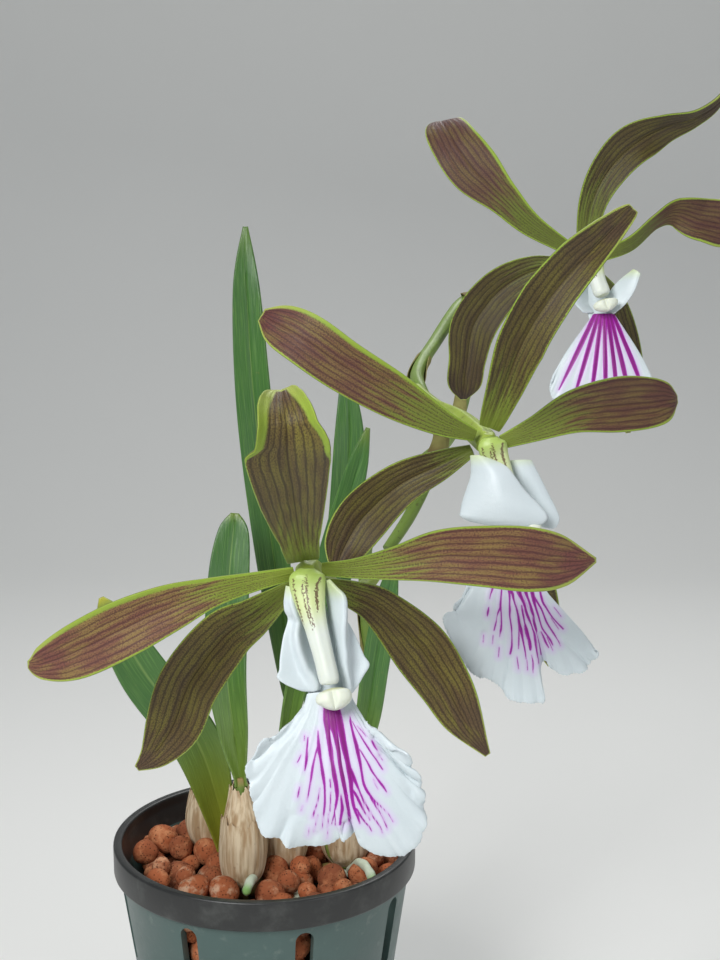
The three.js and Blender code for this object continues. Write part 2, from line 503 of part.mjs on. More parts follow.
// Creeping stem under the bulbs with its roots, grown by a clearance when it is a cutter
const RHIZOMES = [
  [[-13.4, 10.6, 51.5], [-9.4, 5, 51.7], [-5.6, -2, 51.7], [-4.4, -10.4, 51.5]],
  [[-6.4, -10.6, 51.6], [-1, -6, 51.7], [4.4, -1.4, 51.7], [11, 0.4, 51.7], [19, 1, 51.5]],
  [[4.2, -3, 51.6], [5.2, 4, 51.7], [6.6, 14, 51.5]],
];
const RHIZOME_RADIUS = 1.5;
const RHIZOME_SIDES = 8;
const ROD_STEPS = 6;
const ROOTS = [
  [[-4.6, -6, 51.7], [-9, -9.6, 52.2], [-13, -13, 50], [-15, -15, 45]],
  [[16, 0.8, 51.7], [19, -5, 52.6], [20, -11, 50.6], [20, -14, 45]],
  [[5, -1, 51.7], [6.4, -8, 51.8], [7.4, -14, 50], [8, -17, 44]],
  [[-10, 6, 51.7], [-15, 11, 52], [-18, 14, 48], [-19, 16, 43]],
];
const ROOT_RADIUS = 0.9;
const ROOT_TIP = 0.7;
const ROOT_SIDES = 7;
const ROOT_FACING = new THREE.Vector3(0.3, 0.2, 1);

// A line of points with both ends moved outwards by a length
function lengthened(points, by) {
  const pushed = (end, inner) => {
    const from = new THREE.Vector3(...inner);
    const direction = new THREE.Vector3(...end).sub(from).normalize();
    return new THREE.Vector3(...end).addScaledVector(direction, by).toArray();
  };
  const last = points.length - 1;
  const middle = points.slice(1, last);
  return [pushed(points[0], points[1]), ...middle, pushed(points[last], points[last - 1])];
}

function rhizomeParts(grow) {
  const pieces = [];
  for (const line of RHIZOMES) {
    const stations = lengthened(line, grow).map((p) => [...p, RHIZOME_RADIUS + grow, RHIZOME_RADIUS + grow]);
    pieces.push(rod(stations, { sides: RHIZOME_SIDES, steps: ROD_STEPS }));
  }
  for (const root of ROOTS) {
    const stations = lengthened(root, grow).map((p, k) => {
      const radius = ROOT_RADIUS * (k === root.length - 1 ? ROOT_TIP : 1) + grow;
      return [...p, radius, radius];
    });
    pieces.push(rod(stations, { sides: ROOT_SIDES, steps: ROD_STEPS, facing: ROOT_FACING }));
  }
  return pieces;
}

// Seeded random numbers, so that the pebbles always lie alike
function seeded(seed) {
  let state = seed;
  return () => {
    state = (state * 1664525 + 1013904223) % 4294967296;
    return state / 4294967296;
  };
}

// Hole in which the youngest shoot stands, down to the creeping stem
const SHOOT_HOLE = [[-7.6, 1.3, 51, 2.1, 2.1], [-8.6, 0.3, 60, 2.9, 2.9]];

function mediumGeometry() {
  const random = seeded(7);
  const slope = (RIM_RADIUS - COLLAR_STEP - BASE_RADIUS) / (POT_HEIGHT - COLLAR_HEIGHT);
  const innerAt = (height) => BASE_RADIUS + slope * height - WALL - 2 * GAP;
  const profile = [
    [0, FLOOR + GAP], [innerAt(FLOOR) - GAP, FLOOR + GAP], [innerAt(MEDIUM_TOP), MEDIUM_TOP], [0, MEDIUM_TOP],
  ].map(([r, h]) => new THREE.Vector2(r, h));
  let solid = solidOf(turnedUp(new THREE.LatheGeometry(profile, MEDIUM_SIDES)));
  for (const [ring, count] of PEBBLE_RINGS) {
    for (let k = 0; k < count; k += 1) {
      const angle = 2 * Math.PI * (k + 0.5 * random()) / count;
      const size = PEBBLE_RADIUS * (PEBBLE_SMALLEST + PEBBLE_SPREAD * random());
      const pebble = new THREE.IcosahedronGeometry(size, 0);
      pebble.rotateX(Math.PI * random());
      pebble.rotateY(Math.PI * random());
      pebble.scale(...PEBBLE_SHAPE);
      const height = MEDIUM_TOP + PEBBLE_LIFT + PEBBLE_LIFT_SPREAD * random();
      pebble.translate(ring * Math.cos(angle), ring * Math.sin(angle), height);
      solid = solid.add(solidOf(pebble));
    }
  }
  for (const cutter of rhizomeParts(ROOT_CLEARANCE)) {
    solid = solid.subtract(solidOf(cutter));
  }
  for (const [x, y, z, radius, height] of BULBS) {
    const socket = turnedUp(bulbGeometry(radius, height, BULB_CLEARANCE));
    socket.translate(x, y, z);
    solid = solid.subtract(solidOf(socket));
  }
  const shoot = rod(SHOOT_HOLE, { sides: 10, steps: 1, facing: LEAF_FACING });
  return geometryOf(largestOf(solid.subtract(solidOf(shoot))));
}

const object = new THREE.Group();

object.add(named('pot', potGeometry(), COLOURS.pot, 0.45));
object.add(named('growing_medium', mediumGeometry(), COLOURS.clay, 0.9));
object.add(named('rhizome_and_roots', geometryOf(joined(rhizomeParts(0))), COLOURS.root, 0.7));

BULBS.forEach(([x, y, z, radius, height], k) => {
  const bulb = named(`pseudobulb_${k + 1}`, turnedUp(bulbGeometry(radius, height)), COLOURS.bulb);
  bulb.position.set(x, y, z);
  object.add(bulb);
});

LEAVES.forEach((stations, k) => {
  const shape = { across: 2, steps: 12, thickness: LEAF_THICKNESS, facing: LEAF_FACING };
  object.add(named(`leaf_${k + 1}`, blade(stations, shape), COLOURS.leaf));
});

object.add(named('scape', rod(SCAPE, { sides: 8, steps: 34, facing: SCAPE_FACING }), COLOURS.stem));

function lipGeometry(flower) {
  const { claw, lobes, bridge, neck, margin, waists, bulge } = flower;
  const side = { across: 3, steps: 6, thickness: LIP_THICKNESS };
  const fan = middleLobe({ neck, margin, waists, bulge, across: FAN_RAYS, steps: FAN_STEPS });
  const pieces = [blade(claw, side), ...lobes.map((lobe) => blade(lobe, side)), fan];
  if (bridge) {
    pieces.push(blade(bridge, side));
  }
  return geometryOf(joined(pieces));
}

function flowerGroup(place, flower) {
  const group = new THREE.Group();
  group.position.set(...FLOWER_CENTRES[place]);
  group.rotation.x = radians(FLOWER_TILT);
  for (const tepal of TEPALS) {
    const colour = tepal.endsWith('petal') ? COLOURS.petal : COLOURS.sepal;
    const shape = { across: 4, steps: 12, thickness: TEPAL_THICKNESS };
    group.add(named(`${place}_${tepal}`, blade(flower[tepal], shape), colour));
  }
  const sidewaysRod = { sides: 10, steps: 9 };
  group.add(named(`${place}_lip`, lipGeometry(flower), COLOURS.lip, 0.5));
  group.add(named(`${place}_column`, rod(flower.column, sidewaysRod), COLOURS.column, 0.5));
  group.add(named(`${place}_anther_cap`, rod(flower.anther_cap, { sides: 10, steps: 6 }), COLOURS.anther));
  const facing = new THREE.Vector3(0, 1, 0);
  group.add(named(`${place}_ovary`, rod(flower.ovary, { sides: 8, steps: 14, facing }), COLOURS.stem));
  return group;
}

for (const [place, flower] of Object.entries(FLOWERS)) {
  object.add(flowerGroup(place, flower));
}

export default object;
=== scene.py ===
# A potted orchid in flower: a round pot of clay pebbles, pseudobulbs with strap leaves and an
# arching flower stem with three flowers. Sizes are in millimetres, in the same axes as the frame.
import math

import bmesh
import bpy
import numpy as np
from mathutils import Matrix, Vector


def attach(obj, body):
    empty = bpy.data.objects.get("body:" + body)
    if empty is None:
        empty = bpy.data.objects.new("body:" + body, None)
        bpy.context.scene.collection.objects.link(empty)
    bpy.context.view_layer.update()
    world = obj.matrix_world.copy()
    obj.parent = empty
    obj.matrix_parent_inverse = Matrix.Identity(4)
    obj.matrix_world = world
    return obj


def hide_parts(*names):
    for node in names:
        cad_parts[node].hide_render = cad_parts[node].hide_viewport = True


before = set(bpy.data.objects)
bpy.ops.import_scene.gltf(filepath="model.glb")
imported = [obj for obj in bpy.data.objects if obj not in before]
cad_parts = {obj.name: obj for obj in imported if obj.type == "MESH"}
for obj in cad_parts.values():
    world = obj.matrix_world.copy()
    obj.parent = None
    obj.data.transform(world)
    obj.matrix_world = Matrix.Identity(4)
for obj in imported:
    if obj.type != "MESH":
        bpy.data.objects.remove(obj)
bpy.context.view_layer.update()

# The viewpoint: a little above the flowers and in front of them, looking slightly down.
# A pale floor sweeps up behind the plant, under soft light from the upper left.
CAMERA_PLACE = (19.6, -317.3, 202.2)
CAMERA_PITCH = 12
FOCAL_PIXELS = 1648
PICTURE_HEIGHT = 960
SENSOR = 36
FLOOR_REACH = 900
FLOOR_BEHIND = 420
SWEEP_RADIUS = 300
SWEEP_HEIGHT = 900
FLOOR_DROP = 0.4
MM = 0.001

camera_data = bpy.data.cameras.new("viewpoint")
camera_data.sensor_width = SENSOR
camera_data.lens = FOCAL_PIXELS / PICTURE_HEIGHT * SENSOR
camera_data.clip_start = 0.01
camera_data.clip_end = 10
camera = bpy.data.objects.new("viewpoint", camera_data)
camera.location = [value * MM for value in CAMERA_PLACE]
camera.rotation_euler = (math.radians(90 - CAMERA_PITCH), 0, 0)
bpy.context.scene.collection.objects.link(camera)
bpy.context.scene.camera = camera
bpy.context.scene.view_settings.view_transform = "Standard"


class Finish:
    """A Principled material, with short calls for the nodes that paint it."""

    def __init__(self, name, roughness=0.5, specular=0.5):
        self.material = bpy.data.materials.new(name)
        self.material.use_nodes = True
        self.tree = self.material.node_tree
        self.shader = self.tree.nodes["Principled BSDF"]
        self.shader.inputs["Roughness"].default_value = roughness
        self.shader.inputs["Specular IOR Level"].default_value = specular
        self.place = self.tree.nodes.new("ShaderNodeTexCoord").outputs["Object"]

    def node(self, kind, inputs, output=0, **settings):
        """Adds a node. A socket given as an input is linked, any other value is set."""
        made = self.tree.nodes.new(kind)
        for key, value in settings.items():
            setattr(made, key, value)
        for key, value in inputs.items():
            if isinstance(value, bpy.types.NodeSocket):
                self.tree.links.new(value, made.inputs[key])
            else:
                made.inputs[key].default_value = value
        return made.outputs[output]

    def mark(self, name):
        """The three numbers stored on each point of the mesh under a name."""
        stored = self.node("ShaderNodeAttribute", {}, "Vector", attribute_name=name)
        parts = self.tree.nodes.new("ShaderNodeSeparateXYZ")
        self.tree.links.new(stored, parts.inputs[0])
        return stored, parts.outputs[0], parts.outputs[1], parts.outputs[2]

    def stretched(self, place, scale):
        """Coordinates multiplied by a scale for each axis."""
        return self.node("ShaderNodeMapping", {"Vector": place, "Scale": scale})

    def noise(self, scale, place=None, detail=3.0, rough=0.5):
        """Cloudy noise from 0 to 1, with this many clouds to a unit of its coordinates."""
        inputs = {"Vector": place or self.place, "Scale": scale, "Detail": detail, "Roughness": rough}
        return self.node("ShaderNodeTexNoise", inputs, "Fac")

    def cells(self, scale, place=None, feature="F1"):
        """Distance to the nearest of a scatter of points."""
        inputs = {"Vector": place or self.place, "Scale": scale}
        return self.node("ShaderNodeTexVoronoi", inputs, "Distance", feature=feature)

    def maths(self, operation, first, second=0.0):
        """One sum on two numbers."""
        inputs = {0: first, 1: second}
        return self.node("ShaderNodeMath", inputs, operation=operation)

    def step(self, value, low, high):
        """0 below the first bound, 1 above the second, smooth between. The bounds may be reversed."""
        ends = (low, high, 0.0, 1.0) if low < high else (high, low, 1.0, 0.0)
        inputs = dict(zip(("Value", "From Min", "From Max", "To Min", "To Max"), (value, *ends)))
        return self.node("ShaderNodeMapRange", inputs, interpolation_type="SMOOTHSTEP")

    def mix(self, share, first, second):
        """A colour between two others. Colours are given as red, green and blue from 0 to 255."""
        inputs = {0: share}
        for key, colour in ((6, first), (7, second)):
            inputs[key] = colour if isinstance(colour, bpy.types.NodeSocket) else linear(colour)
        return self.node("ShaderNodeMix", inputs, 2, data_type="RGBA")

    def paint(self, colour):
        """The colour that the surface takes."""
        self.tree.links.new(colour, self.shader.inputs["Base Color"])

    def gloss(self, value):
        """The roughness, where it varies over the surface."""
        self.tree.links.new(value, self.shader.inputs["Roughness"])

    def bump(self, height, depth, strength=1.0):
        """Relief from a height of 0 to 1 that stands for this many millimetres."""
        inputs = {"Height": height, "Distance": depth * MM, "Strength": strength}
        normal = self.node("ShaderNodeBump", inputs)
        self.tree.links.new(normal, self.shader.inputs["Normal"])

    def set(self, **values):
        """Values that are the same all over, by the socket's name with _ for a space."""
        for key, value in values.items():
            self.shader.inputs[key.replace("_", " ")].default_value = value


def linear(colour):
    """Red, green and blue from 0 to 255 as the renderer's linear colour: each channel is raised
    to the power of the display curve."""
    channels = np.array(colour) / 255
    bent = np.where(channels <= 0.04045, channels / 12.92, ((channels + 0.055) / 1.055) ** 2.4)
    return (*bent.tolist(), 1.0)


def grid_quads(rows, columns, ring=False):
    """The quads of a grid of points, each row closed into a ring if asked."""
    index = np.arange(rows * columns).reshape(rows, columns)
    if ring:
        index = np.hstack([index, index[:, :1]])
    return np.stack([index[:-1, :-1], index[:-1, 1:], index[1:, 1:], index[1:, :-1]], -1).reshape(-1, 4)


def make_mesh(name, parts, finishes, smooth_below=40):
    """One object from parts, each with points, quads, triangles, the marks of its points and the
    number of its finish. Edges sharper than the angle stay sharp."""
    points = np.vstack([part["points"] for part in parts]) * MM
    starts = np.cumsum([0] + [len(part["points"]) for part in parts])
    quads = np.vstack([part["quads"].reshape(-1, 4) + start for part, start in zip(parts, starts)])
    empty = np.zeros((0, 3), int)
    triangles = np.vstack([part.get("triangles", empty) + start for part, start in zip(parts, starts)])
    mesh = bpy.data.meshes.new(name)
    mesh.vertices.add(len(points))
    mesh.vertices.foreach_set("co", points.ravel())
    mesh.loops.add(4 * len(quads) + 3 * len(triangles))
    mesh.loops.foreach_set("vertex_index", np.concatenate([quads.ravel(), triangles.ravel()]).astype(np.int32))
    mesh.polygons.add(len(quads) + len(triangles))
    lengths = np.repeat([4, 3], [len(quads), len(triangles)])
    mesh.polygons.foreach_set("loop_start", (np.cumsum(lengths) - lengths).astype(np.int32))
    numbers = [np.full(len(part["quads"].reshape(-1, 4)), part.get("finish", 0)) for part in parts]
    numbers += [np.full(len(part.get("triangles", empty)), part.get("finish", 0)) for part in parts]
    mesh.polygons.foreach_set("material_index", np.concatenate(numbers).astype(np.int32))
    mesh.update(calc_edges=True)
    for mark in sorted({key for part in parts for key in part.get("marks", {})}):
        layer = mesh.attributes.new(mark, "FLOAT_VECTOR", "POINT")
        rows = [part.get("marks", {}).get(mark, np.zeros((len(part["points"]), 3))) for part in parts]
        layer.data.foreach_set("vector", np.vstack(rows).astype(np.float32).ravel())
    for finish in finishes:
        mesh.materials.append(finish.material)
    mesh.shade_smooth()
    mesh.set_sharp_from_angle(angle=math.radians(smooth_below))
    piece = bpy.data.objects.new(name, mesh)
    bpy.context.scene.collection.objects.link(piece)
    return piece


def floor_sweep():
    """A flat floor that turns up behind the plant in a quarter circle and goes on as a wall."""
    turn = np.radians(np.linspace(0, 90, 24))
    far = FLOOR_BEHIND + SWEEP_RADIUS * np.sin(turn)
    high = SWEEP_RADIUS * (1 - np.cos(turn))
    along = np.concatenate([[-FLOOR_REACH], far, [far[-1]]])
    up = np.concatenate([[0], high, [SWEEP_HEIGHT]]) - FLOOR_DROP
    sides = np.array([-FLOOR_REACH, FLOOR_REACH])
    grid = np.stack([np.tile(sides, (len(along), 1)), np.tile(along[:, None], 2), np.tile(up[:, None], 2)], -1)
    return {"points": grid.reshape(-1, 3), "quads": grid_quads(len(along), 2)}


pale_floor = Finish("pale_floor", 0.8, 0.2)
pale_floor.paint(pale_floor.mix(pale_floor.noise(6.0), (236, 236, 233), (240, 240, 237)))
floor = make_mesh("floor", [floor_sweep()], [pale_floor])

LIGHTS = [
    ("key_light", (-190, -400, 430), 220, 2.3),
    ("fill_light", (420, -380, 260), 300, 0.6),
    ("back_light", (120, 260, 520), 260, 1.3),
]
LIGHT_TARGET = (25, -80, 130)
SKY_STRENGTH = 0.3


def soft_light(name, place, size, power):
    """A square soft light that faces the flowers."""
    lamp = bpy.data.lights.new(name, "AREA")
    lamp.size = size * MM
    lamp.energy = power
    light = bpy.data.objects.new(name, lamp)
    light.location = [value * MM for value in place]
    aim = (np.array(LIGHT_TARGET) - np.array(place)) * MM
    light.rotation_mode = "QUATERNION"
    light.rotation_quaternion = Vector(aim).to_track_quat("-Z", "Y")
    bpy.context.scene.collection.objects.link(light)


for lamp_name, lamp_place, lamp_size, lamp_power in LIGHTS:
    soft_light(lamp_name, lamp_place, lamp_size, lamp_power)
sky = bpy.data.worlds.new("soft_sky")
sky.use_nodes = True
sky.node_tree.nodes["Background"].inputs["Color"].default_value = linear((214, 220, 226))
sky.node_tree.nodes["Background"].inputs["Strength"].default_value = SKY_STRENGTH
bpy.context.scene.world = sky

# The pot: one moulding of dark green-grey plastic with its collar round the rim painted dark grey,
# eight upright air slots under the collar and four drain holes in its floor.
POT_HEIGHT = 60
RIM_RADIUS = 31
BASE_RADIUS = 22
WALL = 1.8
FLOOR_THICKNESS = 2.4
COLLAR_HEIGHT = 6
COLLAR_STEP = 1.2
POT_SIDES = 144
SLOT_COUNT = 8
SLOT_WIDTH = 3.6
SLOT_FLOOR = 37
SLOT_TOP = 52.5
SLOT_FIRST_ANGLE = -72
DRAIN_COUNT = 4
DRAIN_RADIUS = 2.5
DRAIN_RING = 13
COLLAR_FINISH_FROM = POT_HEIGHT - COLLAR_HEIGHT + 0.1


def turned(profile, sides, spin=None):
    """A profile of radius and height turned about the upright axis. Its first and last points
    lie on the axis, so the poles are single points with a fan of triangles."""
    profile = np.array(profile, float)
    angle = np.linspace(0, 2 * np.pi, sides, endpoint=False)
    inner = profile[1:-1]
    radius, height = inner[:, :1], inner[:, 1:]
    grid = np.stack([radius * np.cos(angle), radius * np.sin(angle), np.tile(height, sides)], -1)
    points = np.vstack([grid.reshape(-1, 3), [[0, 0, profile[0, 1]]], [[0, 0, profile[-1, 1]]]])
    first = np.arange(sides)
    last = first + (len(inner) - 1) * sides
    start_hub, end_hub = len(points) - 2, len(points) - 1
    under = np.stack([np.full(sides, start_hub), np.roll(first, -1), first], -1)
    over = np.stack([np.full(sides, end_hub), last, np.roll(last, -1)], -1)
    return {"points": points, "quads": grid_quads(len(inner), sides, ring=True), "triangles": np.vstack([under, over])}


def rounded(corners, radius, pieces=4):
    """A profile whose inner corners are cut to a short arc: each corner becomes points on a
    quadratic curve between two points a radius away along its edges."""
    corners = np.array(corners, float)
    made = [corners[0]]
    for before, corner, after in zip(corners[:-2], corners[1:-1], corners[2:]):
        reach = min(radius, np.linalg.norm(before - corner) / 2.2, np.linalg.norm(after - corner) / 2.2)
        start = corner + reach * (before - corner) / np.linalg.norm(before - corner)
        end = corner + reach * (after - corner) / np.linalg.norm(after - corner)
        share = np.linspace(0, 1, pieces)[:, None]
        made.extend((1 - share) ** 2 * start + 2 * share * (1 - share) * corner + share**2 * end)
    made.append(corners[-1])
    return made


def cut_away(piece, cutter):
    """Cuts one closed mesh out of another for good, and removes the cutter."""
    bite = piece.modifiers.new("cut", "BOOLEAN")
    bite.operation = "DIFFERENCE"
    bite.solver = "EXACT"
    bite.object = cutter
    shape = piece.evaluated_get(bpy.context.evaluated_depsgraph_get())
    mesh = bpy.data.meshes.new_from_object(shape)
    piece.modifiers.clear()
    piece.data = mesh
    bpy.data.objects.remove(cutter)


def slot_cutter(angle):
    """An upright bar with half-round ends that reaches through the wall: its outline is two
    straight sides and two half circles."""
    bend = np.radians(np.linspace(0, 360, 24, endpoint=False))
    half = SLOT_WIDTH / 2
    across = half * np.cos(bend)
    up = half * np.sin(bend) + np.where(np.sin(bend) >= 0, SLOT_TOP - half, SLOT_FLOOR + half)
    turn = math.radians(angle)
    rings = [
        np.stack([reach * math.cos(turn) - across * math.sin(turn),
                  reach * math.sin(turn) + across * math.cos(turn), up], -1)
        for reach in (RIM_RADIUS - 9, RIM_RADIUS + 4)
    ]
    return capped(np.stack(rings))


def capped(rings):
    """A tube through rings of points, shut at both ends by a fan about its middle."""
    rows, sides, _ = rings.shape
    hubs = [rings[0].mean(0), rings[-1].mean(0)]
    first = np.arange(sides)
    last = first + (rows - 1) * sides
    start = np.stack([np.full(sides, rows * sides), np.roll(first, -1), first], -1)
    end = np.stack([np.full(sides, rows * sides + 1), last, np.roll(last, -1)], -1)
    points = np.vstack([rings.reshape(-1, 3), hubs])
    return {"points": points, "quads": grid_quads(rows, sides, ring=True), "triangles": np.vstack([start, end])}


def drain_cutter(angle):
    """A round bar through the pot's floor."""
    bend = np.radians(np.linspace(0, 360, 32, endpoint=False))
    x = DRAIN_RING * math.cos(math.radians(angle)) + DRAIN_RADIUS * np.cos(bend)
    y = DRAIN_RING * math.sin(math.radians(angle)) + DRAIN_RADIUS * np.sin(bend)
    rings = [np.stack([x, y, np.full(32, height)], -1) for height in (-2.0, FLOOR_THICKNESS + 2)]
    return capped(np.stack(rings))


under_collar = POT_HEIGHT - COLLAR_HEIGHT
body_top = RIM_RADIUS - COLLAR_STEP
pot_profile = [
    [0, 1.2], [BASE_RADIUS - 3.5, 1.2], [BASE_RADIUS - 4, 0], [BASE_RADIUS, 0],
    [body_top, under_collar], [RIM_RADIUS, under_collar], [RIM_RADIUS, POT_HEIGHT],
    [RIM_RADIUS - WALL, POT_HEIGHT], [RIM_RADIUS - WALL, POT_HEIGHT - 2], [body_top - WALL, under_collar],
    [BASE_RADIUS - WALL, FLOOR_THICKNESS], [0, FLOOR_THICKNESS],
]

pot_plastic = Finish("satin_green_grey_plastic", 0.42, 0.5)
dust = pot_plastic.noise(90.0, detail=6.0, rough=0.65)
chalk = pot_plastic.step(pot_plastic.noise(420.0, detail=5.0), 0.58, 0.78)
tone = pot_plastic.mix(dust, (58, 80, 77), (82, 104, 100))
pot_plastic.paint(pot_plastic.mix(pot_plastic.maths("MULTIPLY", chalk, 0.22), tone, (150, 158, 150)))
pot_plastic.gloss(pot_plastic.node(
    "ShaderNodeMapRange", {"Value": dust, "From Min": 0.3, "From Max": 0.7, "To Min": 0.34, "To Max": 0.55}))
pot_plastic.bump(pot_plastic.noise(900.0, detail=4.0), 0.05, 0.5)

# The collar is painted dark grey all round.
collar_plastic = Finish("dark_collar_plastic", 0.38, 0.5)
scuff = collar_plastic.noise(160.0, detail=6.0, rough=0.7)
collar_plastic.paint(collar_plastic.mix(collar_plastic.step(scuff, 0.45, 0.8), (36, 37, 37), (66, 68, 66)))
collar_plastic.bump(collar_plastic.noise(1400.0, detail=3.0), 0.03, 0.5)

pot = make_mesh("pot_moulding", [turned(rounded(pot_profile, 0.5), POT_SIDES)], [pot_plastic, collar_plastic])
cutters = [slot_cutter(SLOT_FIRST_ANGLE + 360 * k / SLOT_COUNT) for k in range(SLOT_COUNT)]
cutters += [drain_cutter(45 + 360 * k / DRAIN_COUNT) for k in range(DRAIN_COUNT)]
cut_away(pot, make_mesh("pot_cutters", cutters, [pot_plastic]))
pot_heights = np.array([face.center.z for face in pot.data.polygons]) / MM
pot.data.polygons.foreach_set("material_index", (pot_heights > COLLAR_FINISH_FROM).astype(np.int32))
pot.data.set_sharp_from_angle(angle=math.radians(35))
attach(pot, "root")
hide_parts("pot")

# The growing medium: fired clay pebbles, orange-brown and rounded, heaped to just below the rim
# over a dark fill with painted shade in the hollows between its lumps. Loose pebbles lie in the mouth and behind the
# slots.
MEDIUM_TOP = 51
MEDIUM_CLEARANCE = 0.6
PEBBLE_SEED = 11
PEBBLE_SIZES = (2.3, 3.4)
PEBBLE_LAYERS = [(52.0, 26.6, 150, 4.7), (54.6, 25.2, 130, 5.4)]
SLOT_PEBBLES = 60
BULBS = [
    (-4.2, -9.4, 53.5, 4.6, 23), (3.9, -1.2, 53.5, 4.9, 25), (6.4, 12.2, 53.5, 5.4, 27),
    (16.8, 0.6, 53.5, 5.2, 24), (-11.2, 8.2, 53.5, 5.4, 19),
]
SHOOT_FOOT = (-7.8, 1.1, 2.6)


def pebble_sphere(divisions):
    """Points and triangles of a sphere made by splitting the faces of an icosahedron."""
    ball = bmesh.new()
    bmesh.ops.create_icosphere(ball, subdivisions=divisions, radius=1)
    points = np.array([corner.co for corner in ball.verts])
    triangles = np.array([[corner.index for corner in face.verts] for face in ball.faces])
    ball.free()
    return points, triangles


def scattered(random, height, reach, tries, apart):
    """Places in a disc, no two nearer than a distance, and none inside a bulb or the shoot."""
    kept = []
    for radius, angle in zip(reach * np.sqrt(random.random(tries * 12)), random.random(tries * 12) * 2 * np.pi):
        spot = np.array([radius * math.cos(angle), radius * math.sin(angle)])
        clear = all(np.hypot(*(spot - bulb[:2])) > 0.62 * bulb[3] + 2.3 for bulb in BULBS)
        clear = clear and np.hypot(spot[0] - SHOOT_FOOT[0], spot[1] - SHOOT_FOOT[1]) > SHOOT_FOOT[2] + 1.4
        if clear and all(np.hypot(*(spot - other[:2])) > apart for other in kept):
            kept.append(np.array([*spot, height + 0.9 * random.random()]))
        if len(kept) == tries:
            break
    return np.array(kept)


def pebbles(random, places, divisions):
    """Rounded lumps: a sphere whose radius follows three slow waves in a direction of its own for
    each pebble, flattened a little along one axis and turned."""
    sphere, triangles = pebble_sphere(divisions)
    count = len(places)
    size = random.uniform(*PEBBLE_SIZES, count)
    waves = random.normal(size=(count, 3, 3)) * 1.5
    phases = random.random((count, 3)) * 6.28
    lift = np.sin(np.einsum("nd,pwd->pnw", sphere, waves) + phases[:, None, :]).sum(2)
    radius = size[:, None] * (1 + 0.055 * lift)
    squash = random.uniform(0.78, 1.0, (count, 1, 3))
    axes = np.linalg.qr(random.normal(size=(count, 3, 3)))[0]
    points = np.einsum("pnd,pde->pne", sphere[None] * radius[..., None] * squash, axes) + places[:, None, :]
    faces = triangles[None] + (np.arange(count) * len(sphere))[:, None, None]
    shade = np.repeat(random.random((count, 3)), len(sphere), 0)
    return {
        "points": points.reshape(-1, 3), "quads": np.zeros((0, 4), int),
        "triangles": faces.reshape(-1, 3), "marks": {"shade": shade},
    }


def inner_wall(height):
    """The pot's inner radius at a height, on the straight line from its foot to its collar."""
    return BASE_RADIUS - WALL + (body_top - BASE_RADIUS) * height / under_collar


fired_clay = Finish("fired_clay", 0.9, 0.25)
_, clay_tint, clay_age, _ = fired_clay.mark("shade")
clay_cloud = fired_clay.noise(380.0, detail=5.0, rough=0.6)
clay_pits = fired_clay.step(fired_clay.cells(1700.0), 0.34, 0.08)
clay_tone = fired_clay.mix(clay_tint, (168, 94, 58), (128, 74, 50))
clay_tone = fired_clay.mix(fired_clay.step(clay_cloud, 0.45, 0.72), clay_tone, (196, 132, 92))
clay_tone = fired_clay.mix(fired_clay.maths("MULTIPLY", clay_pits, 0.7), clay_tone, (66, 38, 28))
salt = fired_clay.maths("MULTIPLY", fired_clay.step(clay_age, 0.55, 0.9), fired_clay.step(clay_cloud, 0.5, 0.66))
fired_clay.paint(fired_clay.mix(fired_clay.maths("MULTIPLY", salt, 0.45), clay_tone, (205, 188, 165)))
clay_relief = fired_clay.maths("SUBTRACT", fired_clay.noise(1500.0, detail=5.0, rough=0.7), clay_pits)
fired_clay.bump(clay_relief, 0.16)

dark_fill = Finish("dark_fill", 0.95, 0.2)
fill_lumps = dark_fill.cells(210.0)
# Painted shade: the lumps are brown at their middles and darken to near black in the hollows between them.
dark_fill.paint(dark_fill.mix(dark_fill.step(fill_lumps, 0.1, 0.6), (92, 58, 42), (30, 22, 18)))
dark_fill.bump(dark_fill.step(fill_lumps, 0.6, 0.0), 1.0)

pebble_random = np.random.default_rng(PEBBLE_SEED)
pebble_parts = [
    pebbles(pebble_random, scattered(pebble_random, height, reach, count, apart), detail)
    for (height, reach, count, apart), detail in zip(PEBBLE_LAYERS, (2, 3))
]
slot_turn = np.radians(SLOT_FIRST_ANGLE + 360 * (np.arange(SLOT_PEBBLES) % SLOT_COUNT) / SLOT_COUNT)
slot_turn = slot_turn + pebble_random.normal(size=SLOT_PEBBLES) * 0.07
slot_height = SLOT_FLOOR - 1 + (SLOT_TOP - SLOT_FLOOR) * (np.arange(SLOT_PEBBLES) // SLOT_COUNT) / 7
slot_reach = inner_wall(slot_height) - PEBBLE_SIZES[1] - 0.2
slot_places = np.stack([slot_reach * np.cos(slot_turn), slot_reach * np.sin(slot_turn), slot_height], -1)
pebble_parts.append(pebbles(pebble_random, slot_places, 2))
clay_pebbles = make_mesh("clay_pebbles", pebble_parts, [fired_clay], smooth_below=80)
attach(clay_pebbles, "root")
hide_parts("growing_medium")

fill_profile = [
    [0, FLOOR_THICKNESS + 0.3], [inner_wall(FLOOR_THICKNESS) - MEDIUM_CLEARANCE, FLOOR_THICKNESS + 0.3],
    [inner_wall(SLOT_FLOOR - 4) - 1, SLOT_FLOOR - 4], [inner_wall(SLOT_FLOOR) - 5, SLOT_FLOOR],
    [inner_wall(MEDIUM_TOP) - 4.5, MEDIUM_TOP - 1], [0, MEDIUM_TOP - 0.5],
]
medium_fill = make_mesh("medium_fill", [turned(fill_profile, 96)], [dark_fill], smooth_below=60)
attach(medium_fill, "root")
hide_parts("growing_medium")

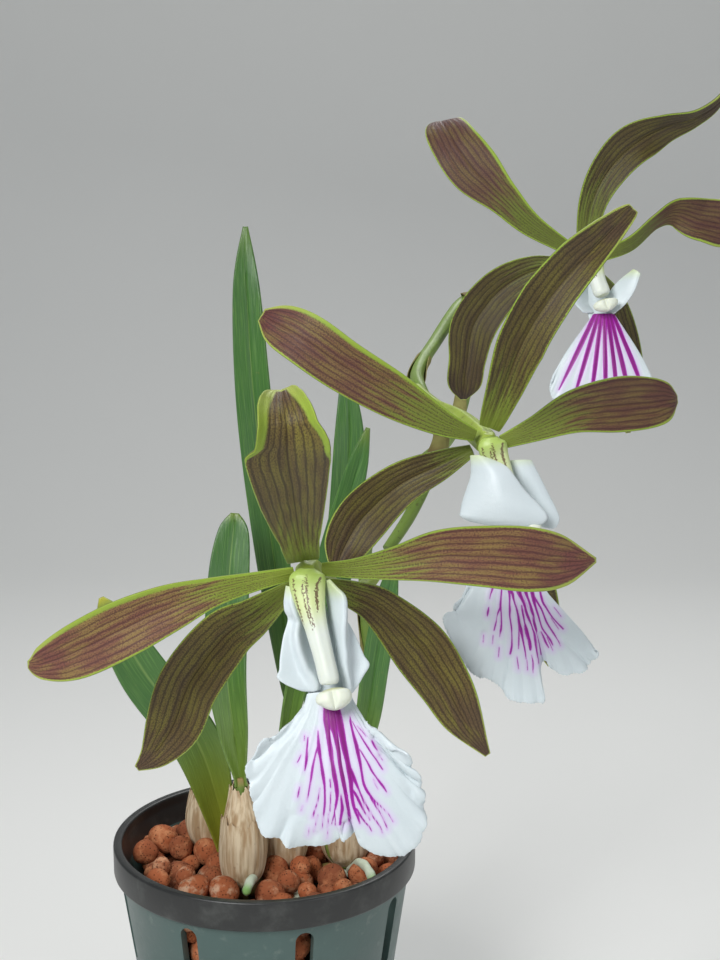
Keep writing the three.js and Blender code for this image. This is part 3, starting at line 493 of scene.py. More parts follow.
# The creeping stem and the roots: a knobbly green-brown stem joins the bulbs at the surface, and
# pale corky roots with fresh green tips run from it into the pebbles.
TOWARDS_VIEWER = (0.0, 0.0, 1.0)
SAMPLE_STEP = 0.01
RHIZOME_RADIUS = 1.5
ROOT_RADIUS = 0.9
RHIZOMES = [
    [[-13.4, 10.6, 51.5], [-9.4, 5, 51.7], [-5.6, -2, 51.7], [-4.4, -10.4, 51.5]],
    [[-6.4, -10.6, 51.6], [-1, -6, 51.7], [4.4, -1.4, 51.7], [11, 0.4, 51.7], [19, 1, 51.5]],
    [[4.2, -3, 51.6], [5.2, 4, 51.7], [6.6, 14, 51.5]],
]
ROOTS = [
    [[-4.6, -6, 51.7], [-9, -9.6, 52.2], [-13, -13, 50], [-15, -15, 45]],
    [[16, 0.8, 51.7], [19, -5, 52.6], [20, -11, 50.6], [20, -14, 45]],
    [[5, -1, 51.7], [6.4, -8, 51.8], [7.4, -14, 50], [8, -17, 44]],
    [[-10, 6, 51.7], [-15, 11, 52], [-18, 14, 48], [-19, 16, 43]],
]
FRESH_ROOTS = [
    [[-3.2, -12.6, 53.4], [-1.6, -15.6, 57.6], [-1.9, -19.2, 58.6], [-2.6, -22, 57.4]],
    [[17.6, -3.4, 53.6], [19.6, -8.6, 57.8], [21.4, -13, 58], [22.4, -16, 56.4]],
]


def smooth_row(stations, share):
    """Values at each share of the way along a list of stations: the cubic through the four
    nearest stations, whose slope at a station is half the step between its neighbours."""
    stations = np.array(stations, float)
    last = len(stations) - 1
    place = np.clip(share, 0, 1) * last
    index = np.minimum(place.astype(int), last - 1)
    t = (place - index)[:, None]
    before, start, end, after = (stations[np.clip(index + k, 0, last)] for k in (-1, 0, 1, 2))
    rise = (end - before) / 2
    fall = (after - start) / 2
    return ((2 * t**3 - 3 * t**2 + 1) * start + (t**3 - 2 * t**2 + t) * rise
            + (3 * t**2 - 2 * t**3) * end + (t**3 - t**2) * fall)


def unit(vectors):
    """The same directions with a length of one."""
    return vectors / np.linalg.norm(vectors, axis=-1, keepdims=True)


def carried(stations, share, facing):
    """Along a line of stations: the values there, the direction of the line, the direction to its
    side, which is the line crossed with the facing, and the direction outwards from both."""
    here = smooth_row(stations, share)
    ahead = smooth_row(stations, share + SAMPLE_STEP)[:, :3]
    behind = smooth_row(stations, share - SAMPLE_STEP)[:, :3]
    along = unit(ahead - behind)
    side = unit(np.cross(along, np.array(facing, float)))
    return here, along, side, np.cross(side, along)


def rod_part(stations, sides, steps, facing=TOWARDS_VIEWER, relief=None, turn_back=False):
    """Closed rod along stations of x, y, z, radius sideways and radius in depth. The relief is a
    function of the angle and of the share along, and multiplies both radii."""
    share = np.linspace(0, 1, steps + 1)
    angle = np.linspace(0, 2 * np.pi, sides, endpoint=False)
    here, _, side, outward = carried(stations, share, facing)
    swell = np.ones((steps + 1, sides)) if relief is None else relief(angle[None, :], share[:, None])
    wide = (here[:, 3:4] * swell * np.cos(angle))[..., None] * side[:, None]
    deep = (here[:, 4:5] * swell * np.sin(angle))[..., None] * outward[:, None]
    rings = here[:, None, :3] + wide + deep
    part = capped(rings[:, ::-1])
    angles, shares = np.meshgrid(angle[::-1], share)
    marks = np.stack([shares, np.cos(angles), np.sin(angles)], -1).reshape(-1, 3)
    part["marks"] = {"run": np.vstack([marks, [[0, 0, 0], [1, 0, 0]]])}
    return part


def with_radius(line, radius, tip=1.0):
    """Stations of a round rod from a line of points, the last one slimmer."""
    return [[*point, radius * (tip if k == len(line) - 1 else 1), radius * (tip if k == len(line) - 1 else 1)]
            for k, point in enumerate(line)]


def knobbly(angle, share):
    """Close rings round a creeping stem, with a slow swelling."""
    return 1 + 0.06 * np.cos(2 * np.pi * 11 * share) + 0.05 * np.sin(3 * angle + 9 * share)


def corky(angle, share):
    """A root's slow change of thickness."""
    return 1 + 0.07 * np.sin(2 * np.pi * 3.3 * share + 2 * angle)


def root_tip(angle, share):
    """A root that keeps its thickness and ends in a round point."""
    return corky(angle, share) * np.sqrt(np.clip((1.001 - share) / 0.12, 0.05, 1))


rhizome_skin = Finish("creeping_stem_skin", 0.7, 0.3)
rhizome_cloud = rhizome_skin.noise(500.0, detail=5.0)
rhizome_skin.paint(rhizome_skin.mix(rhizome_skin.step(rhizome_cloud, 0.35, 0.65), (126, 116, 62), (118, 88, 56)))
rhizome_skin.bump(rhizome_cloud, 0.3)

root_cork = Finish("root_cork", 0.75, 0.3)
_, root_share, _, _ = root_cork.mark("run")
root_cloud = root_cork.noise(700.0, detail=4.0)
root_tone = root_cork.mix(root_cloud, (206, 214, 196), (170, 182, 158))
root_cork.paint(root_cork.mix(root_cork.step(root_share, 0.72, 0.92), root_tone, (126, 168, 96)))
root_cork.bump(root_cloud, 0.12)

creeping_parts = [rod_part(with_radius(line, RHIZOME_RADIUS), 24, 60, relief=knobbly) for line in RHIZOMES]
for line in ROOTS:
    root = rod_part(with_radius(line, ROOT_RADIUS, 0.7), 16, 40, facing=(0.3, 0.2, 1), relief=corky)
    creeping_parts.append({**root, "finish": 1})
for line in FRESH_ROOTS:
    root = rod_part(with_radius(line, ROOT_RADIUS), 16, 48, facing=(0.3, 0.2, 1), relief=root_tip)
    creeping_parts.append({**root, "finish": 1})
creeping_stem = make_mesh("creeping_stem_and_roots", creeping_parts, [rhizome_skin, root_cork], smooth_below=70)
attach(creeping_stem, "root")
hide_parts("rhizome_and_roots")

# The pseudobulbs: pear-shaped storage stems, smooth and green when young and furrowed with age,
# with the tan papery rags of old sheaths round their lower halves.
BULB_OUTLINE = [
    (0, 0), (0.55, 0.02), (0.86, 0.12), (1, 0.3), (0.94, 0.48), (0.74, 0.66),
    (0.48, 0.82), (0.3, 0.93), (0.22, 1), (0, 1),
]
BULB_FURROWS = (9, 7, 8, 7, 11)
BULB_FURROW_DEPTHS = (0.07, 0.035, 0.05, 0.02, 0.09)
SHEATH_SPANS = [[(0.02, 0.7), (0.44, 0.97)], [(0.02, 0.64)], [(0.02, 0.66)], [(0.02, 0.58)], [(0.02, 0.76)]]
SHEATH_STAND = 0.22


def bulb_radius(share):
    """The bulb's radius at a share of its height, as a share of its greatest radius."""
    outline = np.array(BULB_OUTLINE)
    fine = smooth_row(outline[1:-1], np.linspace(0, 1, 200))
    return np.interp(share, fine[:, 1], fine[:, 0])


def bulb_part(bulb, number):
    """The outline turned about the bulb's axis, its radius drawn in along furrows that run from
    foot to top and fade at both ends."""
    x, y, z, radius, height = bulb
    share = np.concatenate([np.linspace(0.004, 0.12, 10), np.linspace(0.14, 1, 60)])
    angle = np.linspace(0, 2 * np.pi, 96, endpoint=False)
    furrow = np.cos(BULB_FURROWS[number] * angle[None] + 2.2 * np.sin(2 * share[:, None] + number))
    fade = np.sin(np.pi * np.clip(share, 0, 1))[:, None]
    out = radius * bulb_radius(share)[:, None] * (1 - BULB_FURROW_DEPTHS[number] * fade * (0.5 - 0.5 * furrow) ** 2)
    lean = 0.5 * np.sin(np.pi * share)[:, None] * math.cos(number)
    rings = np.stack([x + lean + out * np.cos(angle), y + out * np.sin(angle),
                      np.broadcast_to(z + height * share[:, None], out.shape)], -1)
    part = capped(rings)
    angles, shares = np.meshgrid(angle, share)
    marks = np.stack([shares, np.cos(angles), np.sin(angles)], -1).reshape(-1, 3)
    part["marks"] = {"run": np.vstack([marks, [[0, 0, 0], [1, 0, 0]]])}
    return part


def sheath_part(bulb, number, span, turn):
    """A papery tube a little outside the bulb, open at a slit, with a ragged upper edge: the top
    of each strip is lowered by a sum of waves round the bulb, and the paper creases lengthwise."""
    x, y, z, radius, height = bulb
    angle = np.linspace(0.12, 2 * np.pi - 0.12, 120) + turn
    share = np.linspace(0, 1, 30)[:, None]
    rag = 0.1 * np.sin(3 * angle) + 0.05 * np.sin(8 * angle + 1) + 0.035 * np.sin(19 * angle)
    low, high = span
    up = low + (high - low) * share * (1 - 0.2 * np.clip(0.5 + rag * 3, 0, 1) * share)
    crease = 0.05 * np.sin(23 * angle + 3 * share) + 0.03 * np.sin(41 * angle)
    lean = 0.5 * np.sin(np.pi * up) * math.cos(number)
    out = radius * bulb_radius(np.clip(up, 0.02, 1)) + SHEATH_STAND + crease + 0.35 * share**3 * (1 + np.sin(5 * angle))
    grid = np.stack([x + lean + out * np.cos(angle), y + out * np.sin(angle), z + height * up], -1)
    return sheet_part(grid, np.full(grid.shape[:2], 0.05), {}, facing_from=(x, y, z + height / 2))


def sheet_part(grid, half, marks, facing=None, facing_from=None):
    """Closed thin sheet about a grid of points: its two faces lie half a thickness along the
    grid's normals on either side, and a wall joins them round the border. The front is the face
    that looks along the facing, or away from a point. Marks are given for each grid point."""
    normal = unit(np.cross(np.gradient(grid, axis=1), np.gradient(grid, axis=0)) + 1e-12)
    ahead = np.array(facing, float) if facing is not None else grid - np.array(facing_from)
    flipped = (normal * ahead).sum(-1).mean() < 0
    if flipped:
        normal = -normal
    front = grid + normal * half[..., None]
    back = grid - normal * half[..., None]
    rows, columns = half.shape
    index = np.arange(rows * columns).reshape(rows, columns)
    ring = np.concatenate([index[0, :-1], index[:-1, -1], index[-1, :0:-1], index[:0:-1, 0]])
    under = rows * columns
    face = grid_quads(rows, columns)
    after = np.roll(ring, -1)
    wall = np.stack([after, ring, ring + under, after + under], -1)
    quads = np.vstack([face, face[:, ::-1] + under, wall])
    if flipped:
        quads = quads[:, ::-1]
    made = {"sheet": np.stack([np.ones(half.shape), half, np.zeros(half.shape)], -1), **marks}
    doubled = {}
    for key, values in made.items():
        behind = values.copy()
        if key == "sheet":
            behind[..., 0] = -1
        doubled[key] = np.vstack([values.reshape(-1, 3), behind.reshape(-1, 3)])
    return {"points": np.vstack([front.reshape(-1, 3), back.reshape(-1, 3)]), "quads": quads, "marks": doubled}


bulb_skin = Finish("pseudobulb_skin", 0.45, 0.4)
_, bulb_share, bulb_across, bulb_deep = bulb_skin.mark("run")
bulb_cloud = bulb_skin.noise(170.0, detail=5.0, rough=0.6)
bulb_streak = bulb_skin.noise(160.0, bulb_skin.stretched(bulb_skin.place, (4.0, 4.0, 0.35)), detail=4.0)
bulb_tone = bulb_skin.mix(bulb_skin.step(bulb_cloud, 0.3, 0.7), (98, 124, 48), (138, 152, 72))
bulb_tone = bulb_skin.mix(bulb_skin.maths("MULTIPLY", bulb_skin.step(bulb_streak, 0.5, 0.75), 0.5),
                          bulb_tone, (150, 132, 76))
bulb_skin.paint(bulb_skin.mix(bulb_skin.step(bulb_share, 0.9, 1.0), bulb_tone, (150, 128, 82)))
bulb_skin.bump(bulb_streak, 0.18)

sheath_paper = Finish("papery_sheath", 0.8, 0.25)
paper_streak = sheath_paper.noise(300.0, sheath_paper.stretched(sheath_paper.place, (3.5, 3.5, 0.3)), detail=5.0)
paper_tone = sheath_paper.mix(sheath_paper.step(paper_streak, 0.32, 0.7), (166, 138, 104), (214, 196, 166))
paper_spots = sheath_paper.step(sheath_paper.noise(600.0, detail=4.0), 0.62, 0.78)
sheath_paper.paint(sheath_paper.mix(sheath_paper.maths("MULTIPLY", paper_spots, 0.5), paper_tone, (96, 72, 52)))
sheath_paper.bump(paper_streak, 0.16)

for number, bulb in enumerate(BULBS):
    bulb_parts = [bulb_part(bulb, number)]
    for layer, span in enumerate(SHEATH_SPANS[number]):
        bulb_parts.append({**sheath_part(bulb, number, span, 1.3 * number + 2.1 * layer), "finish": 1})
    piece = make_mesh(f"bulb_{number + 1}", bulb_parts, [bulb_skin, sheath_paper], smooth_below=60)
    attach(piece, "root")
    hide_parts(f"pseudobulb_{number + 1}")

# The leaves: leathery dark green straps that grow from the tops of the bulbs, folded along the
# midrib at the foot. The youngest one stands on the creeping stem and is still yellow-green.
LEAF_THICKNESS = 1.1
LEAF_SUNK = 2.2
LEAF_FACING = (0.0, -1.0, 0.0)
LEAVES = [
    [[-7.6, 1.3, 53.7, 1.3, 45, 0], [-9.2, -0.6, 66, 3, 40, 0], [-13.2, -4, 82, 5, 25, 5],
     [-22.6, -7, 97, 4.9, 20, 5], [-28.4, -9, 109, 3.1, 20, 0], [-30.6, -9.6, 113.5, 0.5, 10, 0]],
    [[-4.2, -9.2, 77, 1.2, 50, 0], [-5.4, -8.2, 86, 2.9, 35, 0], [-6.9, -5, 99, 4, 25, 0],
     [-6.4, -1, 115, 4, 18, 0], [-5.6, 1.6, 124, 3, 15, 0], [-5.3, 2.4, 127.5, 0.8, 5, 0]],
    [[5.8, 13.4, 81.2, 1.2, 50, 0], [4.4, 13, 95, 2.6, 38, 0], [1.4, 13, 118, 3.4, 28, 0],
     [-1.8, 14.6, 146, 3.6, 22, 0], [-3.4, 18, 170, 2.7, 20, 0], [-3.6, 20, 183, 0.5, 10, 0]],
    [[3.9, -1, 79, 1.1, 50, 0], [7.4, 0, 95, 2.2, 35, 0], [13.4, 2, 117, 2.7, 25, 0],
     [18.6, 3.4, 135, 2.2, 20, 0], [21.2, 4, 144.5, 0.4, 10, 0]],
    [[8.6, 12.6, 80.8, 1.1, 50, 0], [11.6, 13.6, 95, 2.4, 35, 0], [16, 16, 120, 3.2, 25, 0],
     [17.4, 18, 140, 3, 20, 0], [16.4, 20, 155, 0.6, 10, 0]],
    [[18, -0.6, 77.9, 1, 50, 0], [20.8, -4.8, 86, 2.2, 35, 0], [22.6, -7.6, 99, 2.6, 25, 0],
     [24.6, -9, 112, 2.2, 20, 0], [26.4, -9.6, 122, 0.5, 10, 0]],
]
LEAF_YOUTH = (1.0, 0.25, 0.1, 0.2, 0.0, 0.3)


def turned_about(vectors, axis, angle):
    """Vectors turned about unit axes at right angles to them."""
    return vectors * np.cos(angle) + np.cross(axis, vectors) * np.sin(angle)


def blade_part(stations, thickness, facing, across, steps, rim=0.12, groove=0.0, groove_width=0.1,
               ribs=0.0, rib_count=5, wave=0.0, waves=3.0, phase=0.0, halves=None, border=((0, 0, 0), (1, 0, 0))):
    """Thin blade along stations of x, y, z, half width, cup and roll. The cross-section rises as
    the square of the place across it times the tangent of the cup. The midrib sinks by a bell
    curve, ribs follow a cosine across, and a slow wave lifts the margins. The thickness falls to
    the rim's at the margins and at the tip. Where the halves differ, their widths and the lift of
    their margins come from rows of share, left width, right width and lift. The border gives the
    width of the margin's own colour as rows of share, left and right."""
    share = 1 - (1 - np.linspace(0, 1, steps + 1)) ** 1.25
    u = np.sin(np.linspace(-np.pi / 2, np.pi / 2, across + 1))[None]
    here, along, side, outward = carried(stations, share, facing)
    roll = np.radians(here[:, 5:6])
    side, outward = turned_about(side, along, roll), turned_about(outward, along, roll)
    v = share[:, None]
    width = here[:, 3:4] * np.ones_like(u)
    lift = np.zeros_like(v)
    if halves is not None:
        place, left, right, raised = np.array(halves, float).T
        lift = np.interp(v, place, raised)
        width = np.where(u < 0, np.interp(v, place, left), np.interp(v, place, right))
    fade = np.clip(width / width.max(), 0, 1)
    rise = width * u**2 * np.tan(np.radians(here[:, 4:5])) + lift * u**4
    rise = rise - groove * fade * np.exp(-((u / groove_width) ** 2))
    rise = rise + ribs * fade * np.cos(2 * np.pi * rib_count * u)
    rise = rise + wave * fade * u**2 * np.sin(2 * np.pi * waves * v + phase + 1.4 * np.sign(u))
    lengths = np.linalg.norm(np.diff(here[:, :3], axis=0), axis=1)
    run = np.concatenate([[0], np.cumsum(lengths)])[:, None]
    margin = np.minimum(width * (1 - np.abs(u)), run[-1] - run)
    half = thickness / 2 * (rim + (1 - rim) * np.sqrt(np.clip(margin / (0.35 * width.max()), 0, 1)))
    grid = here[:, None, :3] + (u * width)[..., None] * side[:, None] + rise[..., None] * outward[:, None]
    place, left, right = np.array(border, float).T
    bordered = np.where(u < 0, np.interp(v, place, left), np.interp(v, place, right))
    marks = {
        "share": np.stack([u + 0 * v, v + 0 * u, margin], -1),
        "reach": np.stack([u * width, run + 0 * u, bordered], -1),
    }
    return sheet_part(grid, half, marks, facing=outward.mean(0))


def footed(stations, depth):
    """Stations with one more in front, so that the foot is sunk into what carries it: the first
    station moved back along the line by a depth."""
    first, second = np.array(stations[0], float), np.array(stations[1], float)
    sunk = first.copy()
    sunk[:3] -= depth * unit(second[:3] - first[:3])
    return [sunk.tolist(), *stations]


def leaf_finish(name, youth):
    """Leathery green with fine parallel veins and a pale midrib. Youth turns the leaf's lower half
    and its tip yellow-green."""
    green = Finish(name, 0.38, 0.5)
    _, across, along, margin = green.mark("share")
    reach, _, _, _ = green.mark("reach")
    _, sheet_side, _, _ = green.mark("sheet")
    cloud = green.noise(60.0, detail=4.0)
    veins = green.noise(1.0, green.stretched(reach, (5.5, 0.12, 0.0)), detail=2.0)
    tone = green.mix(cloud, (40, 84, 34), (66, 112, 44))
    tone = green.mix(green.maths("MULTIPLY", green.step(veins, 0.45, 0.7), 0.55), tone, (92, 134, 58))
    midrib = green.step(green.maths("ABSOLUTE", across), 0.12, 0.03)
    tone = green.mix(green.maths("MULTIPLY", midrib, 0.45), tone, (128, 156, 82))
    low = green.step(along, 0.62, 0.1)
    tip = green.step(along, 0.86, 0.99)
    young = green.maths("MULTIPLY", green.maths("MAXIMUM", low, tip), youth)
    tone = green.mix(young, tone, (168, 168, 52))
    worn = green.maths("MULTIPLY", green.step(green.noise(900.0, detail=5.0), 0.66, 0.8), 0.35)
    tone = green.mix(worn, tone, (134, 118, 64))
    tone = green.mix(green.maths("MULTIPLY", green.step(sheet_side, 0.0, -0.1), 0.4), tone, (108, 140, 84))
    green.paint(tone)
    green.bump(green.maths("ADD", veins, green.maths("MULTIPLY", green.noise(1800.0), 0.3)), 0.07)
    green.set(Coat_Weight=0.12, Coat_Roughness=0.3)
    return green


for number, (stations, youth) in enumerate(zip(LEAVES, LEAF_YOUTH)):
    blade = blade_part(footed(stations, LEAF_SUNK), LEAF_THICKNESS, LEAF_FACING, 32, 116, rim=0.3, groove=0.35,
                       groove_width=0.16, wave=0.35, waves=2.0, phase=1.7 * number)
    piece = make_mesh(f"strap_leaf_{number + 1}", [blade], [leaf_finish(f"leathery_leaf_{number + 1}", youth)],
                      smooth_below=60)
    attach(piece, "root")
    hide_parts(f"leaf_{number + 1}")

# The flower stem: it rises from the fourth bulb, arches over and comes forward to the front
# flower. Dry bracts clasp its joints.
SCAPE = [
    [16.4, 1.4, 78.3, 1.4, 1.4], [18, 1, 83, 1.5, 1.5], [21.4, -1.2, 92, 1.4, 1.4],
    [21, -1.6, 108, 1.4, 1.4], [20.8, -2.2, 122, 1.35, 1.35], [24.4, -7.2, 132.2, 1.3, 1.3],
    [30.6, -15.4, 140.8, 1.25, 1.25], [35.8, -22.4, 147.6, 1.2, 1.2], [38.4, -26.8, 157, 1.2, 1.2],
    [39.6, -29.8, 168, 1.15, 1.15], [38.8, -37, 173.6, 1.1, 1.1], [35.8, -46, 173.6, 1.1, 1.1],
    [31.6, -57, 169.4, 1.05, 1.05], [28.4, -69, 166.4, 1, 1], [28.6, -77.6, 164.6, 1, 1],
    [31.4, -81.6, 159.6, 0.95, 0.95], [29.8, -84.6, 154, 0.9, 0.9],
    [26.8, -88.6, 148.6, 0.9, 0.9], [23.5, -92.4, 144.4, 0.8, 0.8],
]
STEM_FOOT = [16.6, 0.9, 75.8, 1.5, 1.5]
SCAPE_FACING = (1.0, 0.3, 0.0)
JOINTS = (0.13, 0.27, 0.41, 0.56, 0.7, 0.83)


def jointed(angle, share):
    """Fine ridges along the stem and a slight swelling at each joint."""
    swelling = sum(0.16 * np.exp(-(((share - joint) / 0.006) ** 2)) for joint in JOINTS)
    return 1 + 0.02 * np.cos(8 * angle) + swelling


def bract_part(joint, length, number):
    """A dry bract that clasps the stem at a joint and tapers to a point: part of a cone whose
    width round the stem falls as the square root of what is left of its length."""
    share = joint + length * np.linspace(0, 1, 24)
    here, along, side, outward = carried(SCAPE, share, SCAPE_FACING)
    rise = np.linspace(0, 1, 24)[:, None]
    spread = np.linspace(-1, 1, 25)[None] * (2.5 * np.sqrt(1.02 - rise)) + 2.4 * number
    radius = here[:, 3:4] * 1.06 + 0.12 + 0.5 * rise**2
    grid = (here[:, None, :3] + (radius * np.cos(spread))[..., None] * side[:, None]
            + (radius * np.sin(spread))[..., None] * outward[:, None])
    marks = {"share": np.stack([spread, np.broadcast_to(rise, spread.shape), np.zeros(spread.shape)], -1)}
    middle = here[:, None, :3] * np.ones((1, 25, 1))
    return sheet_part(grid, np.full(spread.shape, 0.06), marks, facing_from=middle)


def stem_finish(name, base, freckle, freckled):
    """Fleshy green with fine streaks and small dark freckles."""
    green = Finish(name, 0.45, 0.4)
    streak = green.noise(420.0, detail=4.0)
    tone = green.mix(streak, base, tuple(min(255, 1.22 * value) for value in base))
    dots = green.step(green.noise(1500.0, detail=2.0), 0.62, 0.72)
    green.paint(green.mix(green.maths("MULTIPLY", dots, freckled), tone, freckle))
    green.bump(green.noise(2200.0, detail=3.0), 0.04)
    green.set(Subsurface_Weight=0.1, Subsurface_Radius=(0.0006, 0.0008, 0.0002))
    return green


stem_green = stem_finish("flower_stem_green", (96, 118, 50), (62, 44, 34), 0.5)
dry_bract = Finish("dry_bract", 0.8, 0.25)
_, _, bract_share, _ = dry_bract.mark("share")
bract_streak = dry_bract.noise(900.0, detail=4.0)
bract_tone = dry_bract.mix(bract_streak, (148, 146, 88), (112, 104, 60))
dry_bract.paint(dry_bract.mix(dry_bract.step(bract_share, 0.5, 1.0), bract_tone, (104, 84, 54)))
dry_bract.bump(bract_streak, 0.06)

stem_parts = [rod_part(SCAPE, 32, 420, facing=SCAPE_FACING, relief=jointed)]
stem_parts.append(rod_part([STEM_FOOT, SCAPE[0], SCAPE[1]], 32, 24, facing=SCAPE_FACING))
stem_parts += [{**bract_part(joint, 0.045, number), "finish": 1} for number, joint in enumerate(JOINTS)]
flower_stem = make_mesh("flower_stem", stem_parts, [stem_green, dry_bract], smooth_below=60)
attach(flower_stem, "root")
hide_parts("scape")

# The sepals and petals: fleshy, olive-gold at the ground and flushed with red-brown and mauve in
# dotted lengthwise stripes, with a lime foot and a yellow-green margin.
FLOWER_TILT = 78
FLOWER_CENTRES = {"front": (13.3, -124, 149.7), "middle": (36.2, -106, 162.3), "rear": (54.9, -60.9, 182.2)}
TEPAL_THICKNESS = 0.8
TEPALS = {
    "front": {
        "dorsal_sepal": [[-0.4, 1.7, 0.2, 1.5, 10, 0], [-0.8, 4.3, 6, 2.5, 15, 0], [-1.1, 8.9, 14, 3.7, 15, 0],
                         [-1.6, 13.6, 20, 4.6, 12, 0], [-1.7, 17.1, 22, 3.8, 12, 0], [-2.1, 19.7, 20, 2.5, 15, 0],
                         [-2.4, 21.1, 18, 0.4, 5, 0]],
        "left_petal": [[-1.7, -0.1, 1.1, 0.8, 5, 0], [-6.8, -1.1, 3, 1.2, 10, 0], [-11.4, -2.2, 5, 1.8, 12, 0],
                       [-16.1, -3.9, 6, 2.8, 14, 0], [-21.7, -6.4, 6, 3.4, 14, 0], [-27.6, -9.3, 4, 3.2, 12, 0],
                       [-31.9, -10.9, 2, 2, 8, 0], [-33.8, -11.1, 1, 0.4, 0, 0]],
        "left_sepal": [[-1.7, -1.7, -1, 0.8, 10, 0], [-6.6, -5.5, -2, 2.4, 18, 0], [-10.4, -8.2, -3, 3.4, 18, 0],
                       [-14.8, -14, -5, 3.8, 18, 0], [-17.1, -19.6, -7, 3.5, 15, 0], [-19.4, -23.2, -8, 2.1, 12, 0],
                       [-22, -25.4, -9, 0.4, 0, 0]],
        "right_petal": [[1.8, 0.4, 1.1, 0.8, 5, 0], [5.7, 0.6, 3, 1.2, 10, 0], [10.5, 1.3, 5, 2, 10, 0],
                        [15.7, 2.2, 6, 3.1, 12, 0], [21, 2.2, 6, 3.6, 12, 0], [26.4, 1.8, 5, 3.8, 10, 0],
                        [30.8, 1.4, 3, 2.9, 8, 0], [34.8, 1.5, 1, 0.3, 0, 0]],
        "right_sepal": [[1.7, -1.5, -1, 0.8, 10, 0], [5.3, -2.8, -2, 1.7, 15, 0], [8.8, -4.6, -3, 2.5, 18, 0],
                        [13.4, -9.3, -5, 3.6, 20, 0], [16.8, -14.2, -6, 3.3, 18, 0], [19.2, -18.7, -7, 2.5, 15, 0],
                        [22.5, -23.7, -9, 0.4, 0, 0]],
    },
    "middle": {
        "dorsal_sepal": [[0.3, 2, 0.2, 1.4, 10, 0], [1.9, 6.6, 3, 2.3, 25, 0], [3.9, 12.2, 6, 3.2, 28, 0],
                         [7, 17.4, 8, 3.6, 28, 0], [10.8, 22, 8, 3.3, 25, 0], [14.7, 26, 6, 2.4, 22, 0],
                         [18.4, 29.9, 4, 0.4, 0, 0]],
        "left_petal": [[-1.7, 0.9, 1.1, 0.8, 5, 0], [-6.3, 2.6, 3, 1.8, 10, 0], [-12.1, 5.7, 5, 2.9, 10, 0],
                       [-18.5, 9.4, 6, 3.3, 12, 0], [-23.5, 12.9, 6, 3.4, 12, 0], [-27, 15, 4, 2.7, 10, 0],
                       [-29.3, 16.4, 2, 0.9, 0, 0]],
        "left_sepal": [[-1.9, -1, -1, 0.8, 10, 0], [-6, -2.9, -2, 2, 15, 0], [-11.3, -5.5, -3, 2.9, 18, 0],
                       [-15.9, -9.6, -5, 3.5, 20, 0], [-18.6, -13.7, -5, 2.9, 15, 0], [-20, -17.5, -5.4, 0.4, 0, 0]],
        "right_petal": [[1.8, 0, 1, 0.9, 5, 0], [6.3, 1.8, 0, 1.7, 10, 0], [11.7, 4.1, -2, 2.9, 14, 0],
                        [17.5, 5.1, -5, 3.7, 14, 0], [22.7, 5.6, -8, 3.4, 10, 0], [25.4, 6, -10, 2.4, 10, 0],
                        [27, 6.2, -11.6, 0.5, 0, 0]],
        "right_sepal": [[1.2, -1.9, -1.4, 0.8, 10, 0], [2.8, -7.6, -5, 2.1, 20, 0], [5.1, -14.4, -8, 3, 22, 0],
                        [7.4, -21.4, -11, 3, 22, 0], [9.1, -27.2, -14, 1.9, 18, 0], [10.1, -30.9, -16, 0.4, 0, 0]],
    },
    "rear": {
        "dorsal_sepal": [[-0.5, 2.2, 0.2, 1.4, 10, 0], [0.3, 8.6, 2, 2.1, 25, 0], [2.6, 13.4, 3, 2.8, 25, 0],
                         [6.3, 17.3, 3, 3.1, 22, 0], [11.1, 20.3, 2, 2.5, 20, 40], [15.9, 22.1, 1, 1.8, 18, 55],
                         [19.3, 24.1, 1, 1.4, 10, 55], [21.8, 27.1, 2, 0.4, 0, 55]],
        "left_petal": [[-1.6, 1, 1.1, 0.8, 5, 0], [-9, 5.1, 3, 1.8, 10, 0], [-13.5, 9.1, 4, 2.6, 10, 0],
                       [-17.6, 13.2, 4, 3.9, 5, 0], [-20.6, 17.5, 3, 3.8, 0, 0], [-22.4, 21.2, 0, 3, 0, 0],
                       [-22.6, 22.3, -5, 0.5, 0, 0]],
        "left_sepal": [[-1.9, -0.4, -1, 0.8, 10, 0], [-8, -1.1, -2, 2.3, 15, 0], [-13.4, -4.1, -3, 3.3, 18, 0],
                       [-17.4, -9.4, -4, 3.6, 18, 0], [-18.4, -14.8, -5, 2.9, 15, 0], [-18.8, -18.7, -6, 2.6, 10, 0],
                       [-18.9, -21, -7, 0.5, 0, 0]],
        "right_petal": [[1.9, 0.7, 1, 0.8, 5, 0], [6.5, 2.9, 0, 1.3, 8, 40], [10.5, 6.5, -1, 1.6, 10, 50],
                        [13.8, 8.1, -2, 2.4, 10, 35], [17.9, 7, -3, 3.4, 10, 0], [22.1, 6.3, -4, 3.5, 5, 0],
                        [25.9, 5.8, -5, 0.5, 0, 0]],
        "right_sepal": [[1.6, -1.8, -1.4, 0.8, 10, 0], [4.6, -5.6, -7, 2.2, 18, 0], [6.4, -11.2, -10, 3, 20, 0],
                        [7.4, -17, -12.4, 3.2, 20, 0], [8.2, -22, -14.4, 2.3, 18, 0], [8.8, -26, -16, 0.4, 0, 0]],
    },
}


def in_flower(part, place):
    """Moves a part from its flower's own axes, x to the right, y up the picture and z towards the
    viewer, to the plant's: tilted back about x, then carried to the flower's centre."""
    tilt = math.radians(FLOWER_TILT)
    x, y, z = part["points"].T
    turned_points = np.stack([x, y * math.cos(tilt) - z * math.sin(tilt), y * math.sin(tilt) + z * math.cos(tilt)], -1)
    return {**part, "points": turned_points + np.array(FLOWER_CENTRES[place])}


